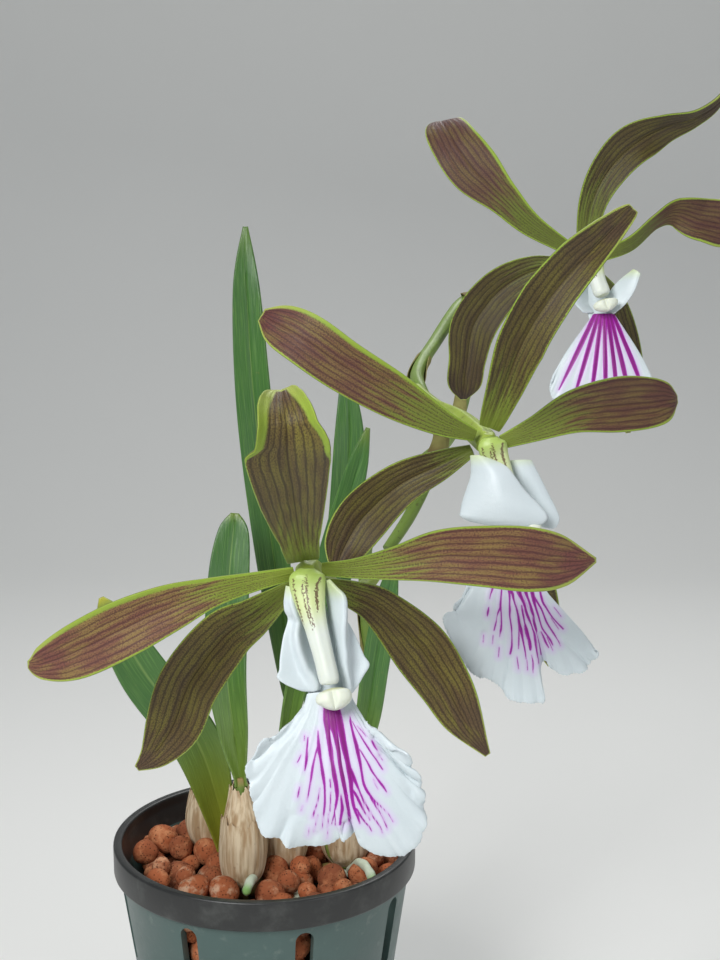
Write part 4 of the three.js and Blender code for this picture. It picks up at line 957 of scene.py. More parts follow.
# The front dorsal sepal's hood: share along, left and right half width, and how far the margins
# are lifted towards the viewer.
HOOD = [
    (0, 2.2, 1.7, 0), (0.167, 2.39, 2.28, 0), (0.333, 3.8, 3.46, 0), (0.412, 4.25, 4.1, 0), (0.5, 4.62, 4.69, 0.1),
    (0.53, 4.6, 4.74, 0.3), (0.548, 4.05, 4.78, 0.6), (0.565, 3.42, 4.76, 0.9), (0.59, 3.24, 4.79, 1.1),
    (0.616, 3.12, 4.65, 1.3), (0.641, 3.04, 4.2, 1.4), (0.667, 2.92, 3.48, 1.4), (0.739, 2.7, 2.7, 1.3),
    (0.811, 2.26, 2.2, 1.1), (0.888, 1.73, 1.69, 0.8), (0.958, 1.2, 1.2, 0.4), (1, 0.5, 0.5, 0),
]
BLUNT = [
    (0, 1.4, 1.4, 0), (0.167, 2.3, 2.2, 0), (0.333, 3.2, 3.0, 0), (0.5, 3.6, 2.8, 0), (0.667, 3.3, 2.4, 0),
    (0.833, 2.4, 1.75, 0), (0.93, 1.6, 1.3, 0), (0.97, 1.15, 1.05, 0), (1, 0.75, 0.75, 0),
]
OWN_HALVES = {("front", "dorsal_sepal"): HOOD, ("middle", "dorsal_sepal"): BLUNT}
BORDERS = {
    "hood": [(0, 0.06, 0.06), (0.52, 0.08, 0.08), (0.55, 0.8, 0.4), (0.63, 0.85, 0.7), (0.9, 0.85, 0.85), (1, 0.7, 0.7)],
    "dorsal_sepal": [(0, 0.05, 0.05), (0.5, 0.06, 0.06), (0.85, 0.2, 0.2), (1, 0.3, 0.3)],
    "left_sepal": [(0, 0.05, 0.05), (0.6, 0.06, 0.06), (1, 0.2, 0.2)],
    "right_sepal": [(0, 0.05, 0.05), (0.6, 0.06, 0.06), (1, 0.2, 0.2)],
    "left_petal": [(0, 0.12, 0.2), (0.3, 0.15, 0.36), (0.5, 0.16, 0.52), (0.8, 0.22, 0.5), (1, 0.36, 0.42)],
    "right_petal": [(0, 0.14, 0.12), (0.3, 0.2, 0.14), (0.6, 0.22, 0.2), (0.85, 0.3, 0.42), (1, 0.4, 0.4)],
}
VEIN_LINES = 4.5
# How far each flower's tepal colours are darkened: the front value sets their own tone, and the lower values for the
# middle and rear flowers are painted shade.
TONE_AND_PAINTED_SHADE = {"front": 0.77, "middle": 0.68, "rear": 0.6}


def tepal_finish(name, shade, ground, flush, pigment, tip_flush, flush_from, flush_amount):
    """Gold ground that is lime at the foot, a mauve flush in streaks from part of the way along,
    fine dark stipple that gathers in nine lines along the blade, painted shade down the midrib
    groove, a rosy tip, a lime margin, and a greener back. The shade factor darkens every colour
    but the margin's: it sets the tepals' own tone, and its lower values for the middle and rear
    flowers are painted shade."""

    def with_tone_and_painted_shade(colour):
        return tuple(shade * channel for channel in colour)

    skin = Finish(name, 0.5, 0.35)
    _, across, along, margin = skin.mark("share")
    reach, _, _, border = skin.mark("reach")
    _, sheet_side, _, _ = skin.mark("sheet")
    grain = skin.noise(1.0, skin.stretched(reach, (7.5, 5.0, 0.0)), detail=2.0, rough=0.7)
    fine = skin.noise(1.0, skin.stretched(reach, (12.0, 7.0, 0.0)), detail=2.0, rough=0.75)
    streak = skin.noise(1.0, skin.stretched(reach, (1.9, 0.14, 0.0)), detail=3.0, rough=0.6)
    cloud = skin.noise(1.0, skin.stretched(reach, (0.34, 0.15, 0.0)), detail=2.0)
    wobble = skin.noise(1.0, skin.stretched(reach, (0.2, 0.3, 0.0)), detail=1.0)

    shifted = skin.maths("ADD", across, skin.maths("MULTIPLY", skin.maths("SUBTRACT", wobble, 0.5), 0.1))
    lines = skin.maths("COSINE", skin.maths("MULTIPLY", shifted, 2 * math.pi * VEIN_LINES))
    line = skin.step(lines, 0.5, 1.0)

    uneven = skin.maths("ADD", along, skin.maths("MULTIPLY", skin.maths("SUBTRACT", streak, 0.5), 0.5))
    outer = skin.step(uneven, flush_from - 0.1, flush_from + 0.14)
    tone = skin.mix(outer, with_tone_and_painted_shade((160, 182, 58)), with_tone_and_painted_shade(ground))
    tone = skin.mix(skin.maths("MULTIPLY", skin.step(fine, 0.5, 0.7), 0.45), tone, with_tone_and_painted_shade((186, 170, 98)))

    patchy = skin.maths("ADD", skin.maths("MULTIPLY", cloud, 0.55), skin.maths("MULTIPLY", streak, 0.45))
    flushed = skin.maths("MULTIPLY", skin.step(patchy, 0.38, 0.58), outer)
    flushed = skin.maths("MULTIPLY", flushed, flush_amount)
    tone = skin.mix(flushed, tone, with_tone_and_painted_shade(flush))

    tipward = skin.maths("MULTIPLY", skin.step(along, 0.55, 0.95), skin.step(patchy, 0.34, 0.52))
    tone = skin.mix(skin.maths("MULTIPLY", tipward, 0.6), tone, with_tone_and_painted_shade(tip_flush))

    gathered = skin.maths("ADD", skin.maths("MULTIPLY", line, 0.16), skin.maths("MULTIPLY", flushed, 0.05))
    gathered = skin.maths("ADD", gathered, skin.maths("MULTIPLY", outer, 0.06))
    speck = skin.step(skin.maths("ADD", grain, gathered), 0.57, 0.67)
    speck = skin.maths("MULTIPLY", speck, skin.step(along, 0.03, 0.14))
    tone = skin.mix(skin.maths("MULTIPLY", speck, 0.72), tone, with_tone_and_painted_shade(pigment))
    dots = skin.step(skin.maths("ADD", fine, skin.maths("MULTIPLY", line, 0.1)), 0.6, 0.7)
    dots = skin.maths("MULTIPLY", dots, outer)
    tone = skin.mix(skin.maths("MULTIPLY", dots, 0.5), tone, with_tone_and_painted_shade(pigment))

    # Painted shade: the midrib groove is darkened with the pigment colour from a third of the way along.
    midrib_groove_shade = skin.maths("MULTIPLY", skin.step(skin.maths("ABSOLUTE", across), 0.1, 0.0), skin.step(along, 0.1, 0.35))
    tone = skin.mix(skin.maths("MULTIPLY", midrib_groove_shade, 0.35), tone, with_tone_and_painted_shade(pigment))

    frayed = skin.maths("ADD", margin, skin.maths("MULTIPLY", skin.maths("SUBTRACT", grain, 0.5), 0.3))
    rim = skin.step(skin.maths("DIVIDE", frayed, border), 1.15, 0.65)
    rim_tone = skin.mix(skin.step(along, 0.6, 1.0), (138, 164, 52), (164, 176, 84))
    tone = skin.mix(skin.maths("MULTIPLY", rim, 0.9), tone, rim_tone)

    back = skin.step(sheet_side, 0.0, -0.05)
    back_tone = skin.mix(skin.step(streak, 0.4, 0.65), with_tone_and_painted_shade((112, 122, 58)), with_tone_and_painted_shade(flush))
    back_tone = skin.mix(skin.maths("MULTIPLY", speck, 0.4), back_tone, with_tone_and_painted_shade(pigment))
    tone = skin.mix(skin.maths("MULTIPLY", back, 0.8), tone, back_tone)
    skin.paint(tone)
    relief = skin.maths("ADD", skin.maths("MULTIPLY", fine, 0.8), skin.maths("MULTIPLY", lines, -0.3))
    skin.bump(relief, 0.08, 0.9)
    skin.set(Subsurface_Weight=0.06, Subsurface_Radius=(0.0006, 0.0004, 0.0002), Sheen_Weight=0.05)
    return skin


for place, tepals in TEPALS.items():
    # Painted shade: the middle and rear flowers take a lower factor, which darkens their tepals.
    shade = TONE_AND_PAINTED_SHADE[place]
    petal_skin = tepal_finish(f"{place}_petal_skin", shade, (174, 144, 76), (146, 82, 74), (84, 38, 42),
                              (142, 66, 76), 0.3, 0.75)
    sepal_skin = tepal_finish(f"{place}_sepal_skin", shade, (146, 134, 50), (112, 80, 54), (52, 34, 16),
                              (116, 80, 70), 0.16, 0.6)
    for number, (name, stations) in enumerate(tepals.items()):
        petal = name.endswith("petal")
        halves = OWN_HALVES.get((place, name))
        blade = blade_part(stations, TEPAL_THICKNESS, TOWARDS_VIEWER, 48, 136, rim=0.16,
                           groove=0.12 if petal else 0.36, groove_width=0.09 if petal else 0.15,
                           ribs=0.018, rib_count=VEIN_LINES, wave=0.22, waves=1.6, phase=1.9 * number,
                           halves=halves, border=BORDERS["hood" if halves is HOOD else name])
        finish = petal_skin if petal else sepal_skin
        piece = make_mesh(f"{place}_{name}_blade", [in_flower(blade, place)], [finish], smooth_below=70)
        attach(piece, "root")
        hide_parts(f"{place}_{name}")

# The lips: each is one white blade with a narrow claw, two side lobes that stand up round the
# column, and a wide ruffled middle lobe with branching magenta veins.
LIP_THICKNESS = 0.42
CLAWS = {
    "front": [[0.1, -2.1, 0.6, 1.4, 5, 0], [0.5, -5.4, 1, 2, 15, 0], [1.4, -10, 2, 2.3, 20, 0],
              [2.6, -14.6, 3.6, 2.3, 10, 0]],
    "middle": [[0.3, -1.9, 0.4, 1.2, 5, 0], [1.3, -5, 0.5, 2, 15, 0], [2.4, -9, 1, 2.4, 20, 0],
               [3.4, -13, 2.2, 2.4, 10, 0]],
    "rear": [[0.1, -1.9, 0.5, 1.2, 5, 0], [0.5, -3.8, 0.7, 1.8, 15, 0], [1.2, -6, 1.2, 2.1, 18, 0],
             [1.9, -8.8, 2.4, 2.1, 10, 0]],
}
SIDE_LOBES = {
    "front": [
        [[[-0.9, -1.5, 1.6], [-1.7, -1.6, 2.8], [-2.1, -1.6, 2.8], [-2.55, -1.5, 2.4]],
         [[-0.5, -3.4, 1.4], [-1.7, -3.4, 3.2], [-2.2, -3.3, 3.0], [-2.8, -3.2, 2.6]],
         [[-0.2, -4.8, 1.3], [-1.3, -4.8, 3.4], [-1.9, -4.6, 3.0], [-2.75, -4.4, 2.6]],
         [[0.0, -5.9, 1.3], [-1.0, -5.9, 3.3], [-1.6, -5.7, 2.6], [-2.35, -5.55, 2.4]],
         [[0.3, -7.4, 1.3], [-1.15, -7.3, 3.9], [-1.9, -7.3, 2.9], [-2.85, -7.4, 3.0]],
         [[0.5, -9.0, 1.5], [-0.85, -8.9, 4.2], [-1.8, -8.9, 3.2], [-3.1, -8.9, 3.4]],
         [[0.8, -10.2, 1.8], [-0.35, -10.3, 4.3], [-1.5, -10.3, 3.3], [-3.25, -10.2, 3.8]],
         [[1.1, -11.3, 2.2], [0.2, -11.5, 4.4], [-1.2, -11.5, 3.5], [-3.3, -11.4, 4.2]],
         [[1.4, -12.2, 2.6], [0.85, -12.3, 4.5], [-0.8, -12.4, 3.8], [-3.55, -12.25, 4.6]],
         [[1.5, -13.1, 3.2], [1.2, -13.1, 4.5], [-0.2, -13.3, 4.1], [-2.5, -13.1, 4.6]],
         [[1.5, -13.9, 3.6], [1.1, -13.9, 4.4], [0.4, -14.0, 4.2], [-0.6, -13.9, 4.4]]],
        [[[1.9, -0.9, 2.0], [2.3, -0.8, 2.8], [2.6, -0.85, 3.4], [2.6, -1.2, 2.8], [2.5, -1.6, 2.2]],
         [[2.1, -1.9, 1.6], [2.8, -1.7, 3.2], [3.5, -1.75, 4.0], [3.5, -2.2, 2.9], [3.4, -2.6, 2.3]],
         [[2.3, -3.2, 1.4], [3.2, -3.0, 3.4], [4.4, -2.7, 4.5], [4.35, -3.4, 2.9], [4.0, -4.0, 2.3]],
         [[2.6, -5.0, 1.3], [3.3, -4.9, 3.5], [4.53, -4.6, 4.7], [4.55, -5.0, 2.9], [4.3, -5.2, 2.4]],
         [[2.9, -6.6, 1.3], [3.5, -6.5, 3.6], [4.45, -6.4, 4.8], [4.7, -6.6, 2.9], [5.2, -6.4, 2.6]],
         [[3.2, -8.2, 1.4], [3.7, -8.1, 3.7], [4.45, -8.0, 4.8], [4.9, -8.2, 2.9], [6.15, -8.3, 2.8]],
         [[3.5, -9.6, 1.6], [3.9, -9.6, 3.9], [4.62, -9.6, 4.9], [5.2, -9.7, 3.0], [6.8, -9.8, 2.9]],
         [[3.7, -10.9, 2.0], [4.1, -10.8, 4.1], [4.68, -10.9, 4.9], [5.3, -11.0, 3.3], [7.45, -10.9, 3.1]],
         [[4.0, -12.1, 2.5], [4.4, -12.1, 4.2], [4.9, -12.2, 4.9], [5.4, -12.2, 3.7], [6.8, -12.1, 3.5]],
         [[4.2, -13.2, 3.0], [4.6, -13.2, 4.3], [5.08, -13.3, 4.8], [5.4, -13.4, 4.0], [6.0, -13.4, 3.8]],
         [[4.4, -13.9, 3.5], [4.7, -14.0, 4.2], [5.0, -14.1, 4.5], [5.2, -14.15, 4.2], [5.4, -14.1, 4.0]]],
    ],
    "middle": [
        [[[0.0, -2.2, 0.8], [-1.7, -1.9, 1.4], [-2.2, -1.75, 2.4], [-1.6, -1.7, 3.4], [-0.9, -1.85, 3.8]],
         [[-0.1, -3.4, 0.8], [-1.7, -3.2, 1.6], [-2.05, -3.1, 2.9], [-0.4, -2.9, 4.6], [1.9, -3.05, 4.6]],
         [[-0.1, -4.6, 0.8], [-1.8, -4.5, 1.8], [-2.0, -4.4, 3.2], [0.4, -4.3, 5.4], [3.15, -4.45, 4.9]],
         [[0.0, -6.2, 0.9], [-2.2, -6.0, 2.2], [-2.45, -6.0, 3.6], [0.8, -6.0, 5.9], [4.45, -6.2, 5.0]],
         [[0.4, -8.0, 1.2], [-2.7, -7.9, 2.8], [-3.0, -7.9, 4.0], [1.4, -8.0, 6.2], [6.3, -8.1, 5.2]],
         [[0.7, -9.2, 1.5], [-2.9, -9.0, 3.2], [-3.15, -9.1, 4.3], [1.7, -9.6, 6.0], [7.3, -9.4, 5.2]],
         [[0.8, -9.7, 1.7], [-2.8, -9.5, 3.4], [-3.15, -9.6, 4.3], [1.8, -10.35, 5.5], [6.9, -10.3, 5.1]],
         [[1.0, -10.6, 2.2], [-1.7, -10.2, 3.4], [-1.8, -10.3, 3.9], [2.2, -11.0, 4.6], [5.4, -11.0, 4.5]]],
        [[[2.6, -2.4, 1.2], [3.6, -2.3, 1.5], [4.6, -2.3, 1.5], [5.7, -2.4, 1.0]],
         [[3.2, -4.4, 1.0], [4.3, -4.2, 1.6], [5.4, -4.1, 1.7], [6.5, -4.0, 1.2]],
         [[4.4, -7.0, 0.9], [5.6, -6.9, 1.6], [6.8, -6.8, 1.8], [7.9, -6.8, 1.3]],
         [[5.6, -9.4, 1.2], [6.8, -9.5, 1.8], [8.0, -9.6, 2.1], [9.15, -9.6, 1.8]],
         [[6.6, -10.9, 1.6], [7.4, -11.1, 2.0], [8.2, -11.2, 2.2], [8.8, -11.0, 2.0]]],
    ],
    "rear": [
        [[[-0.4, -2.2, 1.0], [-1.0, -2.2, 1.8], [-1.9, -2.4, 2.6]],
         [[-0.3, -4.4, 1.0], [-1.2, -4.4, 2.0], [-2.6, -4.4, 3.4]],
         [[0.2, -6.6, 1.2], [-0.9, -6.6, 2.2], [-2.6, -6.6, 3.6]],
         [[0.8, -8.2, 1.8], [0.2, -8.2, 2.6], [-1.2, -8.2, 3.2]]],
        [[[6.4, -1.6, 3.4], [6.9, -1.9, 4.0], [7.4, -2.4, 4.2]],
         [[4.2, -3.4, 2.0], [5.6, -4.0, 3.6], [6.5, -4.9, 4.2]],
         [[2.6, -5.6, 1.6], [4.0, -6.2, 2.9], [5.1, -7.0, 3.6]],
         [[2.0, -7.6, 2.0], [2.6, -8.0, 2.6], [3.4, -8.4, 3.0]]],
    ],
}
MIDDLE_LOBES = {
    "front": {
        "neck": [[5, -13.9, 4], [3.8, -13.9, 4.3], [2.6, -14, 4.3], [1.3, -14.1, 4.2], [0, -14.3, 4]],
        "right": [[5, -13.9, 4], [5.52, -15.55, 4.3], [6.01, -16.82, 4.4], [6.51, -17.68, 4.6],
                  [7.49, -18.53, 4.9], [8.38, -19.57, 5.2], [9.26, -20.41, 5.5], [10.05, -20.8, 5.8]],
        "left": [[0, -14.3, 4], [-0.19, -15.45, 4.2], [-0.61, -16.35, 4.3], [-1.2, -17.19, 4.5],
                 [-1.86, -17.85, 4.8], [-2.46, -18.46, 5.1], [-3.05, -19.08, 5.3], [-3.54, -19.52, 5.5],
                 [-3.92, -19.65, 5.6], [-4.3, -19.47, 5.7]],
        "margin": [[10.05, -20.8, 5.8], [10.52, -20.57, 6.3], [11, -20.58, 6.8], [11.52, -20.69, 7.2],
                   [12.07, -21.1, 7.2], [12.41, -21.86, 6.8], [12.31, -22.53, 6.2], [11.91, -22.88, 5.6],
                   [11.83, -23.23, 5.2], [12.26, -23.52, 5.2], [12.62, -23.3, 5.6], [13.02, -23.23, 6],
                   [13.43, -23.68, 6], [13.59, -24.58, 5.6], [13.5, -25.48, 5.2], [13.75, -25.68, 5.4],
                   [13.97, -25.72, 5.8], [14, -26.39, 6], [13.8, -27.39, 5.4], [13.93, -28.04, 5.4],
                   [14.17, -28.68, 5.9], [14.12, -29.65, 6], [13.69, -30.4, 5.4], [13.56, -31.23, 5.4],
                   [12.99, -32.02, 5.9], [12.21, -32.6, 5.6], [11.52, -33.12, 5.8], [10.86, -33.23, 5.4],
                   [10.24, -33.33, 5.6], [9.06, -33.23, 5.3], [8.2, -33.07, 5.1], [7.49, -32.69, 5.2],
                   [6.81, -32.31, 5.1], [6.38, -31.98, 5], [6.38, -31.36, 4.8], [6.29, -30.88, 4.7],
                   [5.95, -30.62, 4.6], [5.6, -30.55, 4.8], [5.13, -30.94, 5.2], [4.66, -31.24, 5.6],
                   [4.33, -31.61, 5.7], [4.15, -31.27, 5.4], [3.9, -31.06, 5.2], [3.35, -31.53, 5],
                   [2.64, -31.87, 5.1], [1.71, -32.04, 5.4], [0.76, -32.11, 5.4], [-0.19, -32.05, 5.1],
                   [-1.13, -32.15, 5.3], [-1.94, -32.26, 5.7], [-2.4, -32.11, 5.9], [-2.74, -31.63, 5.6],
                   [-3.08, -31.25, 5.3], [-3.83, -30.99, 5.6], [-4.58, -31.02, 5.9], [-5.18, -30.75, 5.7],
                   [-5.66, -29.87, 5.4], [-5.96, -28.94, 5.6], [-6.14, -28.11, 5.9], [-6.33, -27.47, 5.6],
                   [-6.29, -26.84, 5.5], [-6.54, -26.12, 6], [-6.71, -25.33, 6.3], [-6.67, -24.74, 6],
                   [-6.78, -24.21, 6], [-7.12, -23.53, 6.5], [-7.19, -22.72, 6.8], [-6.93, -22.08, 6.4],
                   [-6.46, -21.69, 6.1], [-5.97, -20.91, 6.4], [-5.67, -20.13, 6.5], [-5.3, -19.54, 6.1],
                   [-4.78, -19.25, 5.9], [-4.3, -19.47, 5.7]],
        "bulge": 1.3, "ruffle": 0.22, "ruffles": 7.5,
    },
    "middle": {
        "neck": [[5.8, -12.6, 2.6], [4.6, -12.6, 2.8], [3.3, -12.6, 2.9], [2, -12.6, 2.8], [0.8, -12.6, 2.6]],
        "right": [[5.8, -12.6, 2.6], [6.48, -16.03, 2.8], [6.78, -17.82, 3], [7.21, -19.22, 3.2],
                  [7.83, -20.11, 3.4], [8.57, -20.99, 3.6], [9.32, -21.87, 3.8], [10.08, -22.76, 3.9],
                  [10.83, -23.65, 4], [11.46, -24.54, 4.1], [12.05, -25.42, 4.2], [12.52, -26.09, 4.3],
                  [12.94, -26.52, 4.5]],
        "left": [[0.8, -12.6, 2.6], [-0.22, -15.26, 2.8], [-1.26, -16.41, 3], [-2.3, -17.3, 3.2],
                 [-2.83, -18.31, 3.4], [-3.16, -19.2, 3.6], [-3.43, -19.89, 3.8], [-3.96, -20.32, 4],
                 [-4.38, -20.66, 4.3], [-4.33, -21.24, 4.5], [-4.78, -21.66, 4.6], [-5.34, -21.73, 4.7],
                 [-5.79, -21.99, 4.8]],
        "margin": [[12.94, -26.52, 4.5], [13.41, -26.68, 4.8], [13.76, -26.98, 5.2], [13.6, -27.47, 5.2],
                   [13.28, -27.79, 4.8], [12.92, -27.9, 4.6], [12.83, -28.24, 4.8], [12.56, -28.5, 4.8],
                   [12.37, -28.63, 4.6], [12.38, -28.99, 4.8], [12.05, -29.28, 4.9], [11.56, -29.55, 4.8],
                   [11.02, -29.53, 4.5], [10.42, -29.59, 4.7], [10, -29.79, 5], [9.39, -29.77, 4.8],
                   [8.76, -29.59, 4.7], [8.23, -29.21, 4.9], [7.71, -28.82, 5], [7.54, -28.53, 4.8],
                   [7.6, -28.19, 4.6], [7.25, -27.99, 4.5], [6.88, -28.04, 4.4], [6.58, -28.33, 4.5],
                   [6.43, -29.01, 4.7], [6.42, -29.95, 4.9], [6.51, -30.94, 5.1], [6.67, -31.93, 5.3],
                   [6.87, -32.81, 5.4], [6.76, -33.31, 5.1], [6.38, -33.29, 4.9], [5.91, -33.28, 5.1],
                   [5.37, -33.37, 5.4], [4.82, -33.32, 5.2], [4.27, -33.22, 5], [3.61, -33.24, 5.2],
                   [3.04, -33.02, 5.2], [2.49, -32.9, 4.9], [2.1, -32.58, 5], [1.8, -32, 5.2],
                   [1.38, -31.44, 5.2], [0.89, -30.98, 5], [0.32, -30.6, 5], [-0.27, -30.24, 5.2],
                   [-0.74, -30.06, 5.1], [-1.3, -30.12, 4.9], [-1.79, -29.87, 5], [-2.31, -29.59, 5.2],
                   [-2.89, -28.88, 5.3], [-3.58, -27.87, 5.2], [-4.28, -26.74, 5.1], [-4.92, -25.45, 5.2],
                   [-5.5, -24.24, 5.3], [-5.9, -23.29, 5.2], [-6.03, -22.61, 5], [-5.79, -21.99, 4.8]],
        "bulge": 1.2, "ruffle": 0.2, "ruffles": 6.5,
    },
    "rear": {
        "neck": [[3.6, -8.4, 2.8], [2.8, -8.4, 3.0], [2.0, -8.4, 3.1], [1.2, -8.4, 3.0], [0.4, -8.4, 2.8]],
        "right": [[3.6, -8.4, 2.8], [5.0, -10.7, 3.2], [6.5, -13.2, 3.8], [7.8, -15.6, 4.2], [8.7, -17.8, 4.5]],
        "left": [[0.4, -8.4, 2.8], [-1.2, -10.6, 3.2], [-3.0, -13.0, 3.7], [-4.6, -15.4, 4.1], [-5.9, -17.8, 4.5]],
        "margin": [[8.7, -17.8, 4.5], [9.3, -19.4, 4.8], [9.6, -21.0, 5.1], [9.2, -22.6, 4.9], [8.0, -23.8, 5.0],
                   [6.6, -24.6, 5.2], [5.2, -25.1, 4.8], [4.0, -24.3, 4.6], [2.9, -23.5, 4.6],
                   [1.6, -24.2, 4.8], [0.2, -24.8, 4.8], [-1.4, -24.6, 5.1], [-3.0, -24.2, 5.0],
                   [-4.4, -23.2, 4.8], [-5.6, -22.0, 5.0], [-6.4, -20.6, 4.8], [-6.4, -19.2, 4.6], [-5.9, -17.8, 4.5]],
        "bulge": 1.2, "ruffle": 0.3, "ruffles": 5.5,
    },
}

# Creases of the front and middle lips: x and y along each one, its depth and its width.
CREASES = {
    "front": [
        ([(7.9, -19.3, 0), (9.3, -20.9, 0), (10.5, -22.2, 0), (11.7, -23.5, 0), (13.6, -24.7, 0)], 0.55, 0.3),
        ([(8.8, -21.4, 0), (11.2, -23.6, 0), (12.4, -25.6, 0)], 0.3, 0.5),
        ([(4.3, -31.5, 0), (4.2, -30.2, 0), (4.4, -29.2, 0)], 0.4, 0.25),
        ([(6.1, -31, 0), (5.5, -29.8, 0), (5.3, -28.8, 0)], 0.3, 0.3),
        ([(-1, -16.6, 0), (-2.4, -18.7, 0), (-4.8, -20.5, 0), (-6.4, -22.2, 0)], 0.35, 0.6),
        ([(-3.2, -31.4, 0), (-2.4, -29.8, 0), (-1.6, -28.2, 0)], 0.25, 0.6),
        ([(0.6, -32, 0), (1, -30.5, 0)], 0.2, 0.5),
    ],
    "middle": [
        ([(-2.6, -19, 0), (-3.8, -20.8, 0), (-4.4, -21.6, 0)], 0.5, 0.25),
        ([(6.9, -28.4, 0), (6.4, -26.4, 0), (5.9, -24.4, 0)], 0.4, 0.4),
        ([(1.6, -31.6, 0), (2.2, -29.4, 0), (2.4, -27.6, 0)], 0.3, 0.5),
        ([(-3, -28.6, 0), (-1.8, -26.6, 0), (-1, -24.6, 0)], 0.25, 0.6),
        ([(12.3, -28.3, 0), (10.6, -26.8, 0), (9.2, -25.4, 0)], 0.25, 0.4),
    ],
    "rear": [],
}
